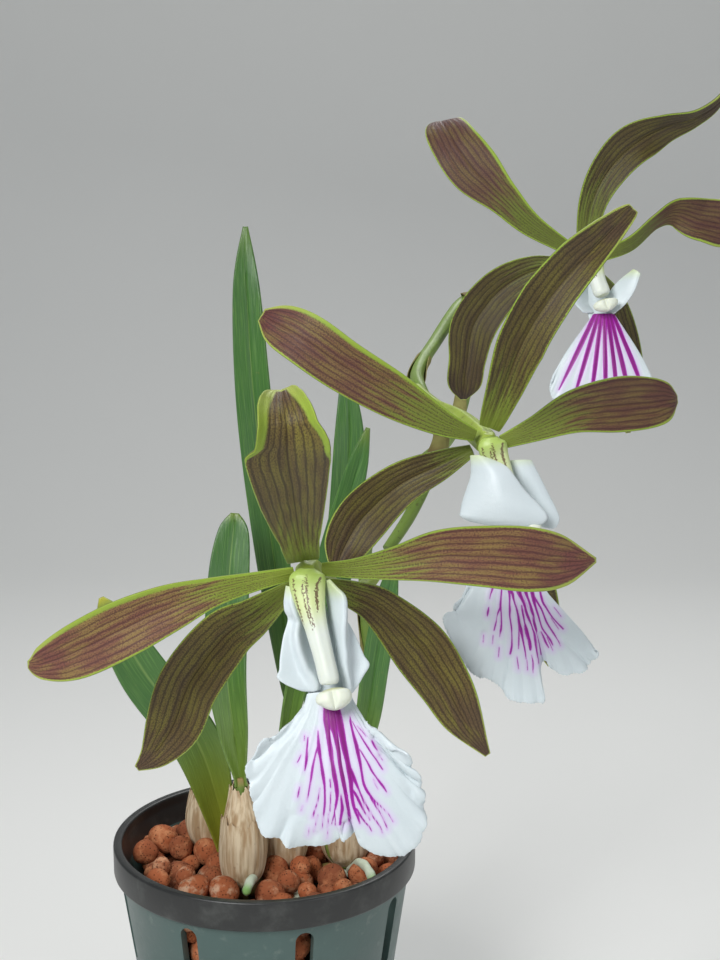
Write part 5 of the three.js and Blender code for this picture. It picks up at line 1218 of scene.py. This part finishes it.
# Veins of the front and middle lips: x, y and half width along each one.
VEINS = {
    "front": [
        [(2.29, -15.81, 0.30), (2.32, -17.23, 0.36), (2.52, -18.42, 0.30), (2.70, -19.60, 0.27),
         (2.88, -20.78, 0.27), (3.00, -21.97, 0.24), (3.23, -23.15, 0.24), (3.47, -24.33, 0.21),
         (3.59, -25.28, 0.20), (3.62, -25.99, 0.15), (3.53, -26.82, 0.11), (3.39, -27.53, 0.11),
         (3.29, -28.12, 0.08), (3.12, -28.59, 0.06), (2.94, -29.30, 0.03)],
        [(2.88, -15.52, 0.30), (2.94, -16.64, 0.53), (3.12, -17.71, 0.47), (3.29, -18.53, 0.30),
         (3.53, -19.60, 0.27), (3.77, -20.78, 0.24), (3.91, -21.97, 0.21), (4.12, -23.15, 0.24),
         (4.36, -24.33, 0.25), (4.59, -25.52, 0.22), (4.77, -26.70, 0.21), (4.95, -27.65, 0.21),
         (5.19, -28.47, 0.13), (5.34, -29.18, 0.07), (5.36, -29.66, 0.03)],
        [(3.47, -15.58, 0.30), (3.71, -16.64, 0.41), (3.94, -17.71, 0.44), (4.12, -18.53, 0.41),
         (4.30, -19.60, 0.36), (4.54, -20.78, 0.33), (4.81, -21.97, 0.28), (5.01, -23.03, 0.30),
         (5.19, -24.21, 0.24), (5.30, -25.40, 0.20), (5.42, -26.34, 0.18), (5.60, -27.17, 0.17),
         (5.84, -27.88, 0.14), (6.13, -28.59, 0.11), (6.31, -29.18, 0.06)],
        [(5.13, -22.68, 0.12), (5.42, -23.62, 0.26), (5.78, -24.39, 0.18), (6.07, -25.04, 0.12),
         (6.31, -25.63, 0.10), (6.67, -26.34, 0.11), (7.02, -27.05, 0.11), (7.43, -27.70, 0.09),
         (7.73, -28.24, 0.07), (8.20, -28.89, 0.07), (8.68, -29.60, 0.06), (8.91, -30.25, 0.04)],
        [(5.42, -25.28, 0.12), (5.84, -25.87, 0.14), (6.19, -26.58, 0.15), (6.49, -27.17, 0.12),
         (6.78, -27.76, 0.09), (7.14, -28.24, 0.07), (7.43, -28.77, 0.04)],
        [(5.90, -27.41, 0.08), (6.43, -28.36, 0.10), (6.90, -29.01, 0.08), (7.38, -29.54, 0.08),
         (7.67, -30.07, 0.04)],
        [(1.38, -18.42, 0.04), (1.40, -19.36, 0.11), (1.44, -20.19, 0.18), (1.52, -20.90, 0.19),
         (1.64, -21.61, 0.15), (1.79, -22.44, 0.17), (1.93, -23.27, 0.21), (2.07, -24.10, 0.18),
         (2.17, -24.92, 0.12), (2.19, -25.87, 0.11), (2.17, -26.82, 0.12), (2.09, -27.65, 0.11),
         (1.99, -28.24, 0.08), (1.91, -29.07, 0.05), (1.81, -29.78, 0.03)],
        [(1.34, -20.31, 0.09), (1.10, -21.14, 0.08), (0.93, -21.85, 0.09), (0.75, -22.68, 0.12),
         (0.63, -23.50, 0.12), (0.51, -24.33, 0.09), (0.39, -25.04, 0.08), (0.22, -25.87, 0.06),
         (0.04, -26.58, 0.03)],
        [(1.58, -25.04, 0.04), (1.46, -25.87, 0.06), (1.28, -26.70, 0.06), (1.05, -27.41, 0.07),
         (0.87, -28.00, 0.09), (0.73, -28.47, 0.07)],
        [(0.16, -19.24, 0.05), (0.11, -20.07, 0.10), (0.06, -20.78, 0.11), (0.00, -21.61, 0.12),
         (-0.08, -22.32, 0.12), (-0.22, -23.03, 0.04)],
        [(-0.23, -19.01, 0.03), (-0.26, -19.60, 0.04)],
        [(-0.65, -21.26, 0.03), (-0.85, -21.73, 0.06), (-1.07, -22.14, 0.04)],
        [(-0.79, -24.92, 0.03), (-0.91, -25.52, 0.07), (-1.03, -26.11, 0.04)],
        [(-0.43, -27.05, 0.02), (-0.59, -27.65, 0.04)],
        [(4.00, -25.75, 0.05), (4.10, -26.58, 0.12), (4.17, -27.41, 0.17), (4.09, -28.00, 0.14),
         (3.97, -28.71, 0.11), (3.91, -29.30, 0.06)],
        [(3.38, -28.00, 0.05), (3.41, -28.71, 0.05), (3.39, -29.36, 0.06)],
        [(4.28, -29.12, 0.07), (4.26, -29.78, 0.09)],
        [(4.75, -27.88, 0.05), (4.87, -28.59, 0.07), (4.89, -29.30, 0.03)],
        [(2.78, -23.98, 0.04), (2.87, -24.92, 0.06)],
        [(2.86, -25.40, 0.04), (2.83, -26.58, 0.06), (2.77, -27.76, 0.04)],
        [(2.60, -28.00, 0.04), (2.56, -28.83, 0.05), (2.45, -29.66, 0.02)],
        [(5.13, -16.76, 0.03), (5.17, -17.35, 0.09), (5.30, -17.94, 0.11), (5.48, -18.65, 0.15),
         (5.66, -19.36, 0.20), (5.87, -20.07, 0.24), (6.01, -20.78, 0.23), (6.16, -21.49, 0.19),
         (6.31, -22.20, 0.17), (6.43, -22.91, 0.13), (6.55, -23.62, 0.12), (6.69, -24.33, 0.13),
         (6.90, -24.92, 0.14), (7.20, -25.46, 0.14), (7.49, -25.87, 0.11), (7.97, -26.46, 0.09),
         (8.38, -26.85, 0.08), (8.91, -27.35, 0.06), (9.45, -27.88, 0.05), (9.86, -28.36, 0.05),
         (10.22, -28.95, 0.07)],
        [(7.38, -25.57, 0.07), (7.61, -26.23, 0.08), (7.97, -26.82, 0.08), (8.32, -27.41, 0.07),
         (8.68, -27.94, 0.05), (9.03, -28.59, 0.06), (9.33, -29.30, 0.06), (9.51, -29.89, 0.02)],
        [(6.28, -20.55, 0.05), (6.67, -21.20, 0.08), (7.08, -21.85, 0.08), (7.43, -22.50, 0.11),
         (7.73, -23.09, 0.11), (8.20, -23.74, 0.08), (8.62, -24.33, 0.12), (9.03, -24.86, 0.12),
         (9.45, -25.52, 0.04)],
        [(7.85, -23.98, 0.02), (8.14, -24.63, 0.05), (8.44, -25.16, 0.03)],
        [(5.36, -17.35, 0.04), (5.84, -18.18, 0.05), (6.31, -18.89, 0.08), (6.78, -19.66, 0.09),
         (7.26, -20.37, 0.09), (7.61, -20.90, 0.07), (8.09, -21.61, 0.07), (8.56, -22.32, 0.08),
         (8.97, -22.91, 0.07)],
        [(5.96, -17.94, 0.02), (6.55, -18.53, 0.04), (7.02, -19.13, 0.02)],
        [(7.61, -19.66, 0.05), (7.97, -20.25, 0.07), (8.36, -20.78, 0.03)],
        [(8.44, -21.14, 0.02), (8.91, -21.91, 0.03)],
        [(0.39, -29.66, 0.02), (0.16, -30.60, 0.02)],
        [(2.52, -29.89, 0.02), (2.41, -30.96, 0.02)],
        [(1.34, -28.12, 0.02), (1.10, -29.18, 0.03), (0.87, -30.13, 0.02)],
    ],
    "middle": [
        [(0.78, -16.44, 0.10), (0.62, -17.58, 0.13), (0.48, -18.35, 0.15), (0.40, -18.80, 0.14),
         (0.27, -19.24, 0.10), (0.11, -19.63, 0.06), (0.01, -20.14, 0.03)],
        [(1.73, -16.18, 0.09), (1.62, -17.46, 0.10), (1.54, -18.86, 0.10), (1.49, -19.50, 0.11),
         (1.42, -20.26, 0.12), (1.35, -21.03, 0.16), (1.42, -21.79, 0.10), (1.44, -22.56, 0.10),
         (1.42, -23.32, 0.10), (1.34, -24.09, 0.08), (1.21, -24.86, 0.03)],
        [(1.24, -21.28, 0.08), (1.03, -21.92, 0.06), (0.84, -22.56, 0.03), (0.71, -23.20, 0.06),
         (0.51, -24.09, 0.06)],
        [(1.10, -26.26, 0.05), (1.01, -27.41, 0.03)],
        [(0.40, -24.73, 0.03), (0.27, -25.75, 0.03)],
        [(-0.14, -21.22, 0.05), (-0.24, -21.79, 0.11), (-0.33, -22.30, 0.04)],
        [(-0.73, -24.73, 0.03), (-0.82, -25.62, 0.04)],
        [(2.50, -15.93, 0.13), (2.44, -17.33, 0.15), (2.44, -18.73, 0.18), (2.50, -19.24, 0.13),
         (2.53, -20.01, 0.08), (2.51, -20.77, 0.06), (2.54, -21.54, 0.10), (2.54, -22.30, 0.08),
         (2.64, -23.07, 0.08), (2.73, -23.83, 0.10), (2.73, -24.60, 0.06), (2.72, -25.37, 0.07),
         (2.69, -26.13, 0.10), (2.53, -26.96, 0.10)],
        [(2.44, -17.71, 0.19), (2.63, -18.73, 0.22), (2.95, -19.63, 0.19), (3.20, -20.52, 0.14),
         (3.46, -21.48, 0.14), (3.65, -22.37, 0.17), (3.79, -23.32, 0.20), (3.92, -24.09, 0.17),
         (4.09, -24.92, 0.13), (4.25, -25.81, 0.11), (4.40, -26.64, 0.10), (4.50, -27.66, 0.04)],
        [(3.69, -23.71, 0.09), (3.61, -24.60, 0.07), (3.60, -25.49, 0.06), (3.58, -26.39, 0.03)],
        [(3.33, -15.93, 0.19), (3.49, -17.46, 0.26), (3.69, -18.99, 0.26), (3.90, -19.75, 0.22),
         (4.16, -20.39, 0.19), (4.39, -21.03, 0.17), (4.58, -21.79, 0.17), (4.80, -22.43, 0.15),
         (5.03, -23.01, 0.11), (5.24, -23.58, 0.08), (5.43, -24.34, 0.10), (5.57, -25.11, 0.11),
         (5.69, -26.00, 0.10), (5.79, -26.77, 0.08), (5.88, -27.53, 0.04)],
        [(4.01, -20.90, 0.03), (4.16, -21.67, 0.08), (4.29, -22.30, 0.10), (4.39, -23.07, 0.10),
         (4.55, -23.71, 0.18), (4.71, -24.34, 0.19), (4.86, -24.98, 0.15), (5.01, -25.62, 0.13),
         (5.11, -26.51, 0.08)],
        [(4.22, -16.18, 0.15), (4.37, -17.58, 0.19), (4.54, -19.12, 0.21), (4.73, -19.88, 0.14),
         (4.95, -20.52, 0.13), (5.15, -21.16, 0.15), (5.31, -21.79, 0.15), (5.46, -22.56, 0.13),
         (5.62, -23.32, 0.13), (5.79, -23.96, 0.13), (5.94, -24.60, 0.14), (6.14, -25.37, 0.17),
         (6.26, -26.13, 0.15), (6.33, -27.15, 0.08)],
        [(4.86, -16.18, 0.13), (5.11, -17.71, 0.19), (5.37, -19.12, 0.22), (5.50, -19.75, 0.23),
         (5.60, -20.39, 0.19), (5.75, -21.03, 0.12), (5.94, -21.67, 0.11), (6.14, -22.30, 0.11),
         (6.30, -22.94, 0.11), (6.52, -23.71, 0.10), (6.90, -24.28, 0.10), (7.28, -24.79, 0.10),
         (7.67, -25.37, 0.11), (7.96, -25.94, 0.05)],
        [(5.70, -20.01, 0.13), (6.14, -20.77, 0.12), (6.52, -21.41, 0.11), (6.77, -22.05, 0.10),
         (7.03, -22.81, 0.11), (7.35, -23.45, 0.10), (7.73, -24.03, 0.10), (8.11, -24.60, 0.10),
         (8.49, -25.24, 0.05), (8.88, -26.07, 0.03)],
        [(5.88, -16.44, 0.06), (6.26, -17.97, 0.09), (6.43, -19.12, 0.11), (6.54, -19.88, 0.12),
         (6.77, -20.65, 0.14), (7.16, -21.28, 0.12), (7.54, -21.92, 0.10), (7.98, -22.56, 0.08),
         (8.56, -23.20, 0.08), (9.26, -23.94, 0.08)],
        [(6.45, -24.22, 0.03), (6.77, -24.98, 0.07), (7.03, -25.62, 0.08), (7.37, -26.26, 0.04)],
        [(7.16, -24.98, 0.03), (7.54, -25.75, 0.05), (7.92, -26.58, 0.03)],
        [(3.39, -27.41, 0.03), (3.49, -28.30, 0.06), (3.53, -28.94, 0.03)],
        [(4.60, -27.79, 0.03), (4.67, -29.06, 0.04)],
        [(5.24, -27.15, 0.04), (5.41, -28.43, 0.06), (5.41, -29.38, 0.03)],
        [(5.88, -27.28, 0.03), (5.98, -28.30, 0.03)],
        [(8.18, -21.28, 0.02), (8.69, -21.92, 0.03), (9.07, -22.43, 0.02)],
        [(7.73, -22.56, 0.02), (8.18, -23.20, 0.04), (8.69, -23.96, 0.03)],
    ],
}
REAR_VEINS = 7


def line_distance(x, y, line):
    """How far each point lies outside a line of x, y and half width: its distance from the nearest
    of the line's straight pieces, less the half width there."""
    line = smooth_row(line, np.linspace(0, 1, 4 * len(line) - 3))
    nearest = np.full(x.shape, 9.0)
    for start, end in zip(line[:-1], line[1:]):
        step = end - start
        t = np.clip(((x - start[0]) * step[0] + (y - start[1]) * step[1]) / (step[:2] @ step[:2]), 0, 1)
        away = np.hypot(x - start[0] - t * step[0], y - start[1] - t * step[1])
        nearest = np.minimum(nearest, away - (start[2] + t * step[2]))
    return nearest


def coons(shape, creases, rows, columns):
    """The middle lobe: each point is what its neck and margin give, plus what its right and left
    sides give, less what the four corners give, so that all four borders are met. The middle is
    raised by a sine down the lobe that falls off to its sides, with low folds along it, the margin
    is ruffled by waves of three lengths that grow with a high power of the way outwards, and each
    crease sinks as a bell curve of the distance from it. A last fine wave notches the margin."""
    s = np.linspace(0, 1, columns)[None, :, None]
    v = (1 - (1 - np.linspace(0, 1, rows)) ** 1.35)[:, None, None]
    top, low = smooth_row(shape["neck"], s[0, :, 0])[None], smooth_row(shape["margin"], s[0, :, 0])[None]
    first, last = smooth_row(shape["right"], v[:, 0, 0])[:, None], smooth_row(shape["left"], v[:, 0, 0])[:, None]
    corners = ((1 - s) * (1 - v) * top[:, :1] + s * (1 - v) * top[:, -1:]
               + (1 - s) * v * low[:, :1] + s * v * low[:, -1:])
    grid = (1 - v) * top + v * low + (1 - s) * first + s * last - corners
    sway, depth = (2 * s - 1)[..., 0], v[..., 0]
    wavy = low[..., 2] - np.linspace(low[0, 0, 2], low[0, -1, 2], columns)
    grid[..., 2] -= (depth - depth**6) * wavy
    arch = np.sin(np.pi * depth)
    lift = arch * (shape["bulge"] - 0.03 * np.cos(2 * np.pi * 9 * sway)) * (1 - sway**2)
    turn = 2 * np.pi * shape["ruffles"] * s[..., 0]
    waves = np.sin(turn) + 0.5 * np.sin(2.3 * turn + 1) + 0.22 * np.sin(5.1 * turn + 2)
    lift = lift + shape["ruffle"] * depth**11 * waves
    for line, sunk, wide in creases:
        lift = lift - sunk * np.exp(-((line_distance(grid[..., 0], grid[..., 1], line) / wide) ** 2))
    grid[..., 2] += lift
    outwards = grid[-1:] - grid[-6:-5]
    notch = 0.07 * np.sin(11.3 * turn) + 0.06 * np.sin(17.9 * turn + 1)
    grid = grid + unit(outwards) * (notch * depth**14)[..., None]
    return grid, s[..., 0] * np.ones_like(depth), depth * np.ones_like(s[..., 0])


def rounded_edge(grid, thickness, rim, reach):
    """Half the thickness of a sheet, falling to the rim's near its border as a quarter circle."""
    rows, columns = grid.shape[:2]
    across = np.linalg.norm(np.diff(grid, axis=1), axis=2)
    down = np.linalg.norm(np.diff(grid, axis=0), axis=2)
    left = np.hstack([np.zeros((rows, 1)), np.cumsum(across, 1)])
    top = np.vstack([np.zeros((1, columns)), np.cumsum(down, 0)])
    border = np.minimum(np.minimum(left, left[:, -1:] - left), np.minimum(top + reach, top[-1:] - top))
    share = np.clip(border / reach, 0, 1)
    return thickness / 2 * (rim + (1 - rim) * np.sqrt(1 - (1 - share) ** 2)), border


def net_grid(net, rows, columns):
    """A dense grid through a net of points, by the cubic rule along one way and then the other."""
    net = np.array(net, float)
    spread = np.stack([smooth_row(line, np.linspace(0, 1, columns)) for line in net])
    return np.stack([smooth_row(spread[:, k], np.linspace(0, 1, rows)) for k in range(columns)], 1)


def middle_lobe_part(place, shape):
    """The middle lobe with the distance from its veins. The rear lip's veins fan out evenly from
    its neck to its margin."""
    grid, s, v = coons(shape, CREASES[place], 126, 220)
    if place in VEINS:
        veins = VEINS[place]
    else:
        neck = smooth_row(shape["neck"], np.linspace(0.12, 0.88, REAR_VEINS))
        ends = smooth_row(shape["margin"], np.linspace(0.2, 0.84, REAR_VEINS))
        veins = [[(*a[:2], 0.3), (*(a + 0.5 * (b - a))[:2], 0.34), (*(a + 0.88 * (b - a))[:2], 0.1)]
                 for a, b in zip(neck, ends)]
    away = np.minimum.reduce([line_distance(grid[..., 0], grid[..., 1], vein) for vein in veins])
    half, border = rounded_edge(grid, LIP_THICKNESS, 0.25, 0.8)
    marks = {"lip": np.stack([away, v, border], -1), "spot": np.stack([grid[..., 0], grid[..., 1], s], -1)}
    return sheet_part(grid, half, marks, facing=TOWARDS_VIEWER)


def plain_lip_part(grid, facing=TOWARDS_VIEWER):
    """A side lobe or claw: the same blade without veins."""
    half, border = rounded_edge(grid, LIP_THICKNESS, 0.25, 0.6)
    marks = {
        "lip": np.stack([np.full(half.shape, 9.0), np.zeros(half.shape), border], -1),
        "spot": np.stack([grid[..., 0], grid[..., 1], np.zeros(half.shape)], -1),
    }
    return sheet_part(grid, half, marks, facing=facing)


def claw_grid(stations):
    """The claw's cross-section rises as the square of the place across it."""
    share = np.linspace(0, 1, 40)
    u = np.linspace(-1, 1, 25)[None, :, None]
    here, along, side, outward = carried(stations, share, TOWARDS_VIEWER)
    rise = here[:, 3] * np.tan(np.radians(here[:, 4]))
    return here[:, None, :3] + u * here[:, None, 3:4] * side[:, None] + u**2 * rise[:, None, None] * outward[:, None]


lip_skin = Finish("lip_skin", 0.42, 0.4)
_, vein_away, lip_down, lip_border = lip_skin.mark("lip")
spot, _, spot_y, _ = lip_skin.mark("spot")
feather = lip_skin.noise(1.0, lip_skin.stretched(spot, (12.0, 3.5, 0.0)), detail=3.0, rough=0.7)
lip_cloud = lip_skin.noise(140.0, detail=3.0)
lip_tone = lip_skin.mix(lip_cloud, (197, 208, 212), (206, 215, 218))
lip_tone = lip_skin.mix(lip_skin.maths("MULTIPLY", lip_skin.step(spot_y, -3.6, -1.2), 0.75), lip_tone, (196, 210, 140))
rough_away = lip_skin.maths("ADD", vein_away, lip_skin.maths("MULTIPLY", lip_skin.maths("SUBTRACT", feather, 0.5), 0.1))
lip_tone = lip_skin.mix(lip_skin.maths("MULTIPLY", lip_skin.step(rough_away, 0.9, 0.1), 0.34), lip_tone, (206, 172, 226))
lip_tone = lip_skin.mix(lip_skin.maths("MULTIPLY", lip_skin.step(rough_away, 0.2, 0.0), 0.4), lip_tone, (196, 124, 208))
vein_core = lip_skin.mix(lip_skin.step(rough_away, -0.04, -0.22), (152, 22, 154), (126, 14, 116))
lip_tone = lip_skin.mix(lip_skin.step(rough_away, 0.05, -0.03), lip_tone, vein_core)
lip_skin.paint(lip_tone)
lip_relief = lip_skin.maths("ADD", lip_skin.noise(1900.0, detail=2.0), lip_skin.maths("MULTIPLY", feather, 0.6))
lip_skin.bump(lip_relief, 0.04, 0.8)
lip_skin.set(Subsurface_Weight=0.15, Subsurface_Radius=(0.001, 0.0009, 0.0009), Sheen_Weight=0.06)

for place in TEPALS:
    lip_parts = [plain_lip_part(claw_grid(CLAWS[place]))]
    lip_parts += [plain_lip_part(net_grid(net, 64, 40)) for net in SIDE_LOBES[place]]
    lip_parts.append(middle_lobe_part(place, MIDDLE_LOBES[place]))
    piece = make_mesh(f"{place}_lip_blade", [in_flower(part, place) for part in lip_parts], [lip_skin],
                      smooth_below=75)
    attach(piece, "root")
    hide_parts(f"{place}_lip")

# The columns: a pale lime rod over each lip that fades to white, with three rows of brown-purple
# dashes near its foot, and a cream cap of two lobes over the pollen at its end.
COLUMNS = {
    "front": [[0, 0.6, 3, 0.9, 0.6], [0, -0.3, 3, 2.1, 1.2], [0.1, -2, 3.2, 2.1, 1.3],
              [0.6, -4.4, 4, 1.8, 1.3], [1.3, -7, 4.8, 1.6, 1.2], [2.1, -10, 5.6, 1.45, 1.2],
              [2.7, -12.4, 6.2, 1.4, 1.2], [2.8, -12.9, 6.3, 0.8, 0.7]],
    "middle": [[0.3, 0.6, 2.9, 0.9, 0.6], [0.4, -0.3, 2.7, 1.8, 1.1], [0.9, -2, 2.5, 1.8, 1.1],
               [2, -4.4, 3.05, 1.5, 1.1], [3.1, -7, 3.7, 1.3, 1.05], [4, -9.4, 4.2, 1.3, 1.1],
               [4.3, -10, 4.2, 0.8, 0.7]],
    "rear": [[0.1, 0.4, 3.1, 0.9, 0.6], [0.2, -0.4, 3.1, 1.7, 1.2], [0.5, -1.8, 3.2, 1.6, 1.2],
             [1, -3.6, 3.7, 1.4, 1.2], [1.5, -5.2, 4.2, 1.4, 1.2], [1.7, -5.8, 4.4, 0.8, 0.7]],
}
ANTHERS = {
    "front": [[3, -13.3, 6.2, 0.7, 0.6], [3.1, -13.8, 6.3, 1.5, 1.1], [3.3, -14.8, 6.6, 1.6, 1.2],
              [3.4, -15.8, 6.9, 0.8, 0.7]],
    "middle": [[4.5, -10.5, 4.3, 0.7, 0.6], [4.7, -10.9, 4.4, 1.3, 1], [5.1, -11.7, 4.6, 1.3, 1],
               [5.5, -12.5, 4.8, 0.8, 0.7]],
    "rear": [[1.8, -6.3, 4.6, 0.7, 0.6], [1.9, -6.7, 4.7, 1.4, 1], [2.1, -7.4, 4.9, 1.4, 1],
             [2.3, -8.1, 5.1, 0.7, 0.6]],
}


# How far each column narrows below its foot, and the rows of dark dashes on its front: share along,
# place across from -1 to 1, and half width.
COLUMN_WAISTS = {"front": 0.84, "middle": 0.8, "rear": 0.9}
DASH_ROWS = [
    [(0.16, -0.78, 0.08), (0.235, -0.57, 0.16), (0.33, -0.51, 0.17), (0.42, -0.5, 0.13), (0.46, -0.46, 0.0)],
    [(0.12, 0.05, 0.06), (0.235, 0.04, 0.12), (0.35, 0.09, 0.12), (0.46, 0.15, 0.12), (0.54, 0.08, 0.03)],
    [(0.2, 0.21, 0.04), (0.29, 0.31, 0.09), (0.4, 0.36, 0.09), (0.49, 0.33, 0.08), (0.55, 0.28, 0.03)],
    [(0.16, 0.74, 0.03), (0.3, 0.75, 0.08), (0.42, 0.88, 0.08), (0.5, 0.92, 0.02)],
]


def column_form(waist):
    """Two shallow grooves down the front, and a waist that the rod narrows to past its third."""

    def form(angle, share):
        grooves = np.exp(-(((angle - 1.1) / 0.22) ** 2)) + np.exp(-(((angle - 2.04) / 0.22) ** 2))
        narrowed = 1 - (1 - waist) * np.clip((share - 0.28) / 0.25, 0, 1)
        rounded_end = np.sqrt(np.clip((1.0 - share) / 0.05, 0.3, 1))
        return (1 - 0.05 * grooves * np.sin(np.pi * share)) * narrowed * rounded_end

    return form


def cap_form(angle, share):
    """Two round lobes side by side: the rod widens to both sides as the square of the cosine, a
    cleft down the front parts them, and both ends close in a quarter circle."""
    lobes = 0.3 * np.cos(angle) ** 2 * np.sin(np.pi * share) ** 0.5
    cleft = np.exp(-(((angle - np.pi / 2) / 0.24) ** 2)) * np.clip(share * 2.2, 0, 1)
    ends = np.sqrt(np.clip(1 - (2 * share - 1) ** 6, 0.05, 1))
    return (1 + lobes - 0.42 * cleft) * ends


def dashed(rod, stations):
    """Adds each point's distance from the rows of dashes: the way across the column from a row's
    place at that share, times the column's half width, less the row's half width."""
    share, across, front = rod["marks"]["run"].T
    half_width = smooth_row(stations, share)[:, 3]
    away = np.full(len(share), 9.0)
    for row in DASH_ROWS:
        place_along, place_across, half = np.array(row).T
        beside = np.abs(across - np.interp(share, place_along, place_across)) * half_width
        beyond = np.maximum(place_along[0] - share, share - place_along[-1]) * 20
        away = np.minimum(away, np.maximum(beside - np.interp(share, place_along, half), beyond))
    away = np.where(front > 0.05, away, 9.0)
    rod["marks"]["dash"] = np.stack([away, share, front], -1)
    return rod


column_skin = Finish("column_skin", 0.4, 0.45)
column_run, column_share, _, _ = column_skin.mark("run")
_, dash_away, _, _ = column_skin.mark("dash")
column_tone = column_skin.mix(column_skin.step(column_share, 0.12, 0.4), (160, 186, 84), (196, 208, 150))
column_tone = column_skin.mix(column_skin.step(column_share, 0.38, 0.6), column_tone, (210, 216, 211))
column_grain = column_skin.noise(900.0, detail=3.0)
column_tone = column_skin.mix(column_skin.maths("MULTIPLY", column_grain, 0.2), column_tone, (206, 214, 160))
broken = column_skin.noise(1.0, column_skin.stretched(column_run, (64.0, 9.0, 2.0)), detail=2.0, rough=0.6)
ragged = column_skin.maths("MULTIPLY", column_skin.maths("SUBTRACT", broken, 0.48), -0.8)
dash_edge = column_skin.maths("ADD", dash_away, ragged)
dash_ink = column_skin.step(dash_edge, 0.06, -0.06)
column_skin.paint(column_skin.mix(column_skin.maths("MULTIPLY", dash_ink, 0.88), column_tone, (86, 54, 38)))
column_skin.bump(column_skin.noise(2400.0), 0.03)
column_skin.set(Subsurface_Weight=0.12, Subsurface_Radius=(0.001, 0.001, 0.0006))

anther_skin = Finish("anther_cap_skin", 0.5, 0.35)
_, cap_share, _, _ = anther_skin.mark("run")
anther_tone = anther_skin.mix(anther_skin.noise(900.0, detail=3.0), (212, 218, 202), (222, 226, 212))
# The cap's foot is olive-cream: partly its own tone, partly painted shade in the hollow under the column's end.
anther_tone = anther_skin.mix(anther_skin.step(cap_share, 0.34, 0.1), anther_tone, (192, 194, 152))
anther_skin.paint(anther_tone)
anther_skin.bump(anther_skin.noise(2600.0), 0.04)
anther_skin.set(Subsurface_Weight=0.12, Subsurface_Radius=(0.001, 0.0009, 0.0005))

for place in TEPALS:
    rod = rod_part(COLUMNS[place], 72, 130, relief=column_form(COLUMN_WAISTS[place]))
    column = in_flower(dashed(rod, COLUMNS[place]), place)
    piece = make_mesh(f"{place}_column_rod", [column], [column_skin], smooth_below=75)
    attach(piece, "root")
    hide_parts(f"{place}_column")
    cap = in_flower(rod_part(ANTHERS[place], 72, 56, relief=cap_form), place)
    piece = make_mesh(f"{place}_anther_cap_lobes", [cap], [anther_skin], smooth_below=80)
    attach(piece, "root")
    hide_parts(f"{place}_anther_cap")

# The ovaries: each flower's green stalk, ridged and freckled, thickest behind the flower and
# slimmer where it leaves the stem.
OVARIES = {
    "front": [[0, 0, 1.2, 0.5, 0.5], [0, 0, 0.6, 1.05, 1.05], [0, 0, -0.6, 1.5, 1.5],
              [0.2, 0, -3, 1.5, 1.5], [1.5, -1.6, -9.6, 1.4, 1.4], [4, -3.8, -18, 1.2, 1.2],
              [7.2, -3.2, -26, 1, 1], [9.8, 0.2, -32, 0.9, 0.9]],
    "middle": [[0, 0, 1.2, 0.5, 0.5], [0, 0, 0.6, 1.05, 1.05], [-0.1, 0.1, -0.6, 1.5, 1.5],
               [-0.8, 1, -3.4, 1.5, 1.5], [-3, 3.4, -10, 1.35, 1.35], [-6, 5.4, -17, 1.15, 1.15],
               [-8.4, 8.2, -24.4, 0.95, 0.95]],
    "rear": [[0, 0, 1.2, 0.5, 0.5], [0, 0, 0.6, 1.05, 1.05], [-0.1, 0, -0.6, 1.5, 1.5],
             [-0.6, -0.2, -3.8, 1.5, 1.5], [-4.2, -0.8, -11.6, 1.35, 1.35], [-11, -1.6, -18.6, 1.15, 1.15],
             [-14.9, -2, -23.2, 0.95, 0.95]],
}


def ridged(angle, share):
    """Six low ridges that turn slowly about the stalk and fade at its ends."""
    return 1 + 0.07 * np.cos(6 * angle + 3 * share) * np.sin(np.pi * np.clip(share, 0, 1)) ** 0.5


ovary_green = stem_finish("ovary_green", (134, 152, 62), (88, 50, 46), 0.4)
for place in TEPALS:
    stalk = in_flower(rod_part(OVARIES[place], 48, 140, facing=(0, 1, 0), relief=ridged), place)
    piece = make_mesh(f"{place}_ovary_stalk", [stalk], [ovary_green], smooth_below=75)
    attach(piece, "root")
    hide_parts(f"{place}_ovary")
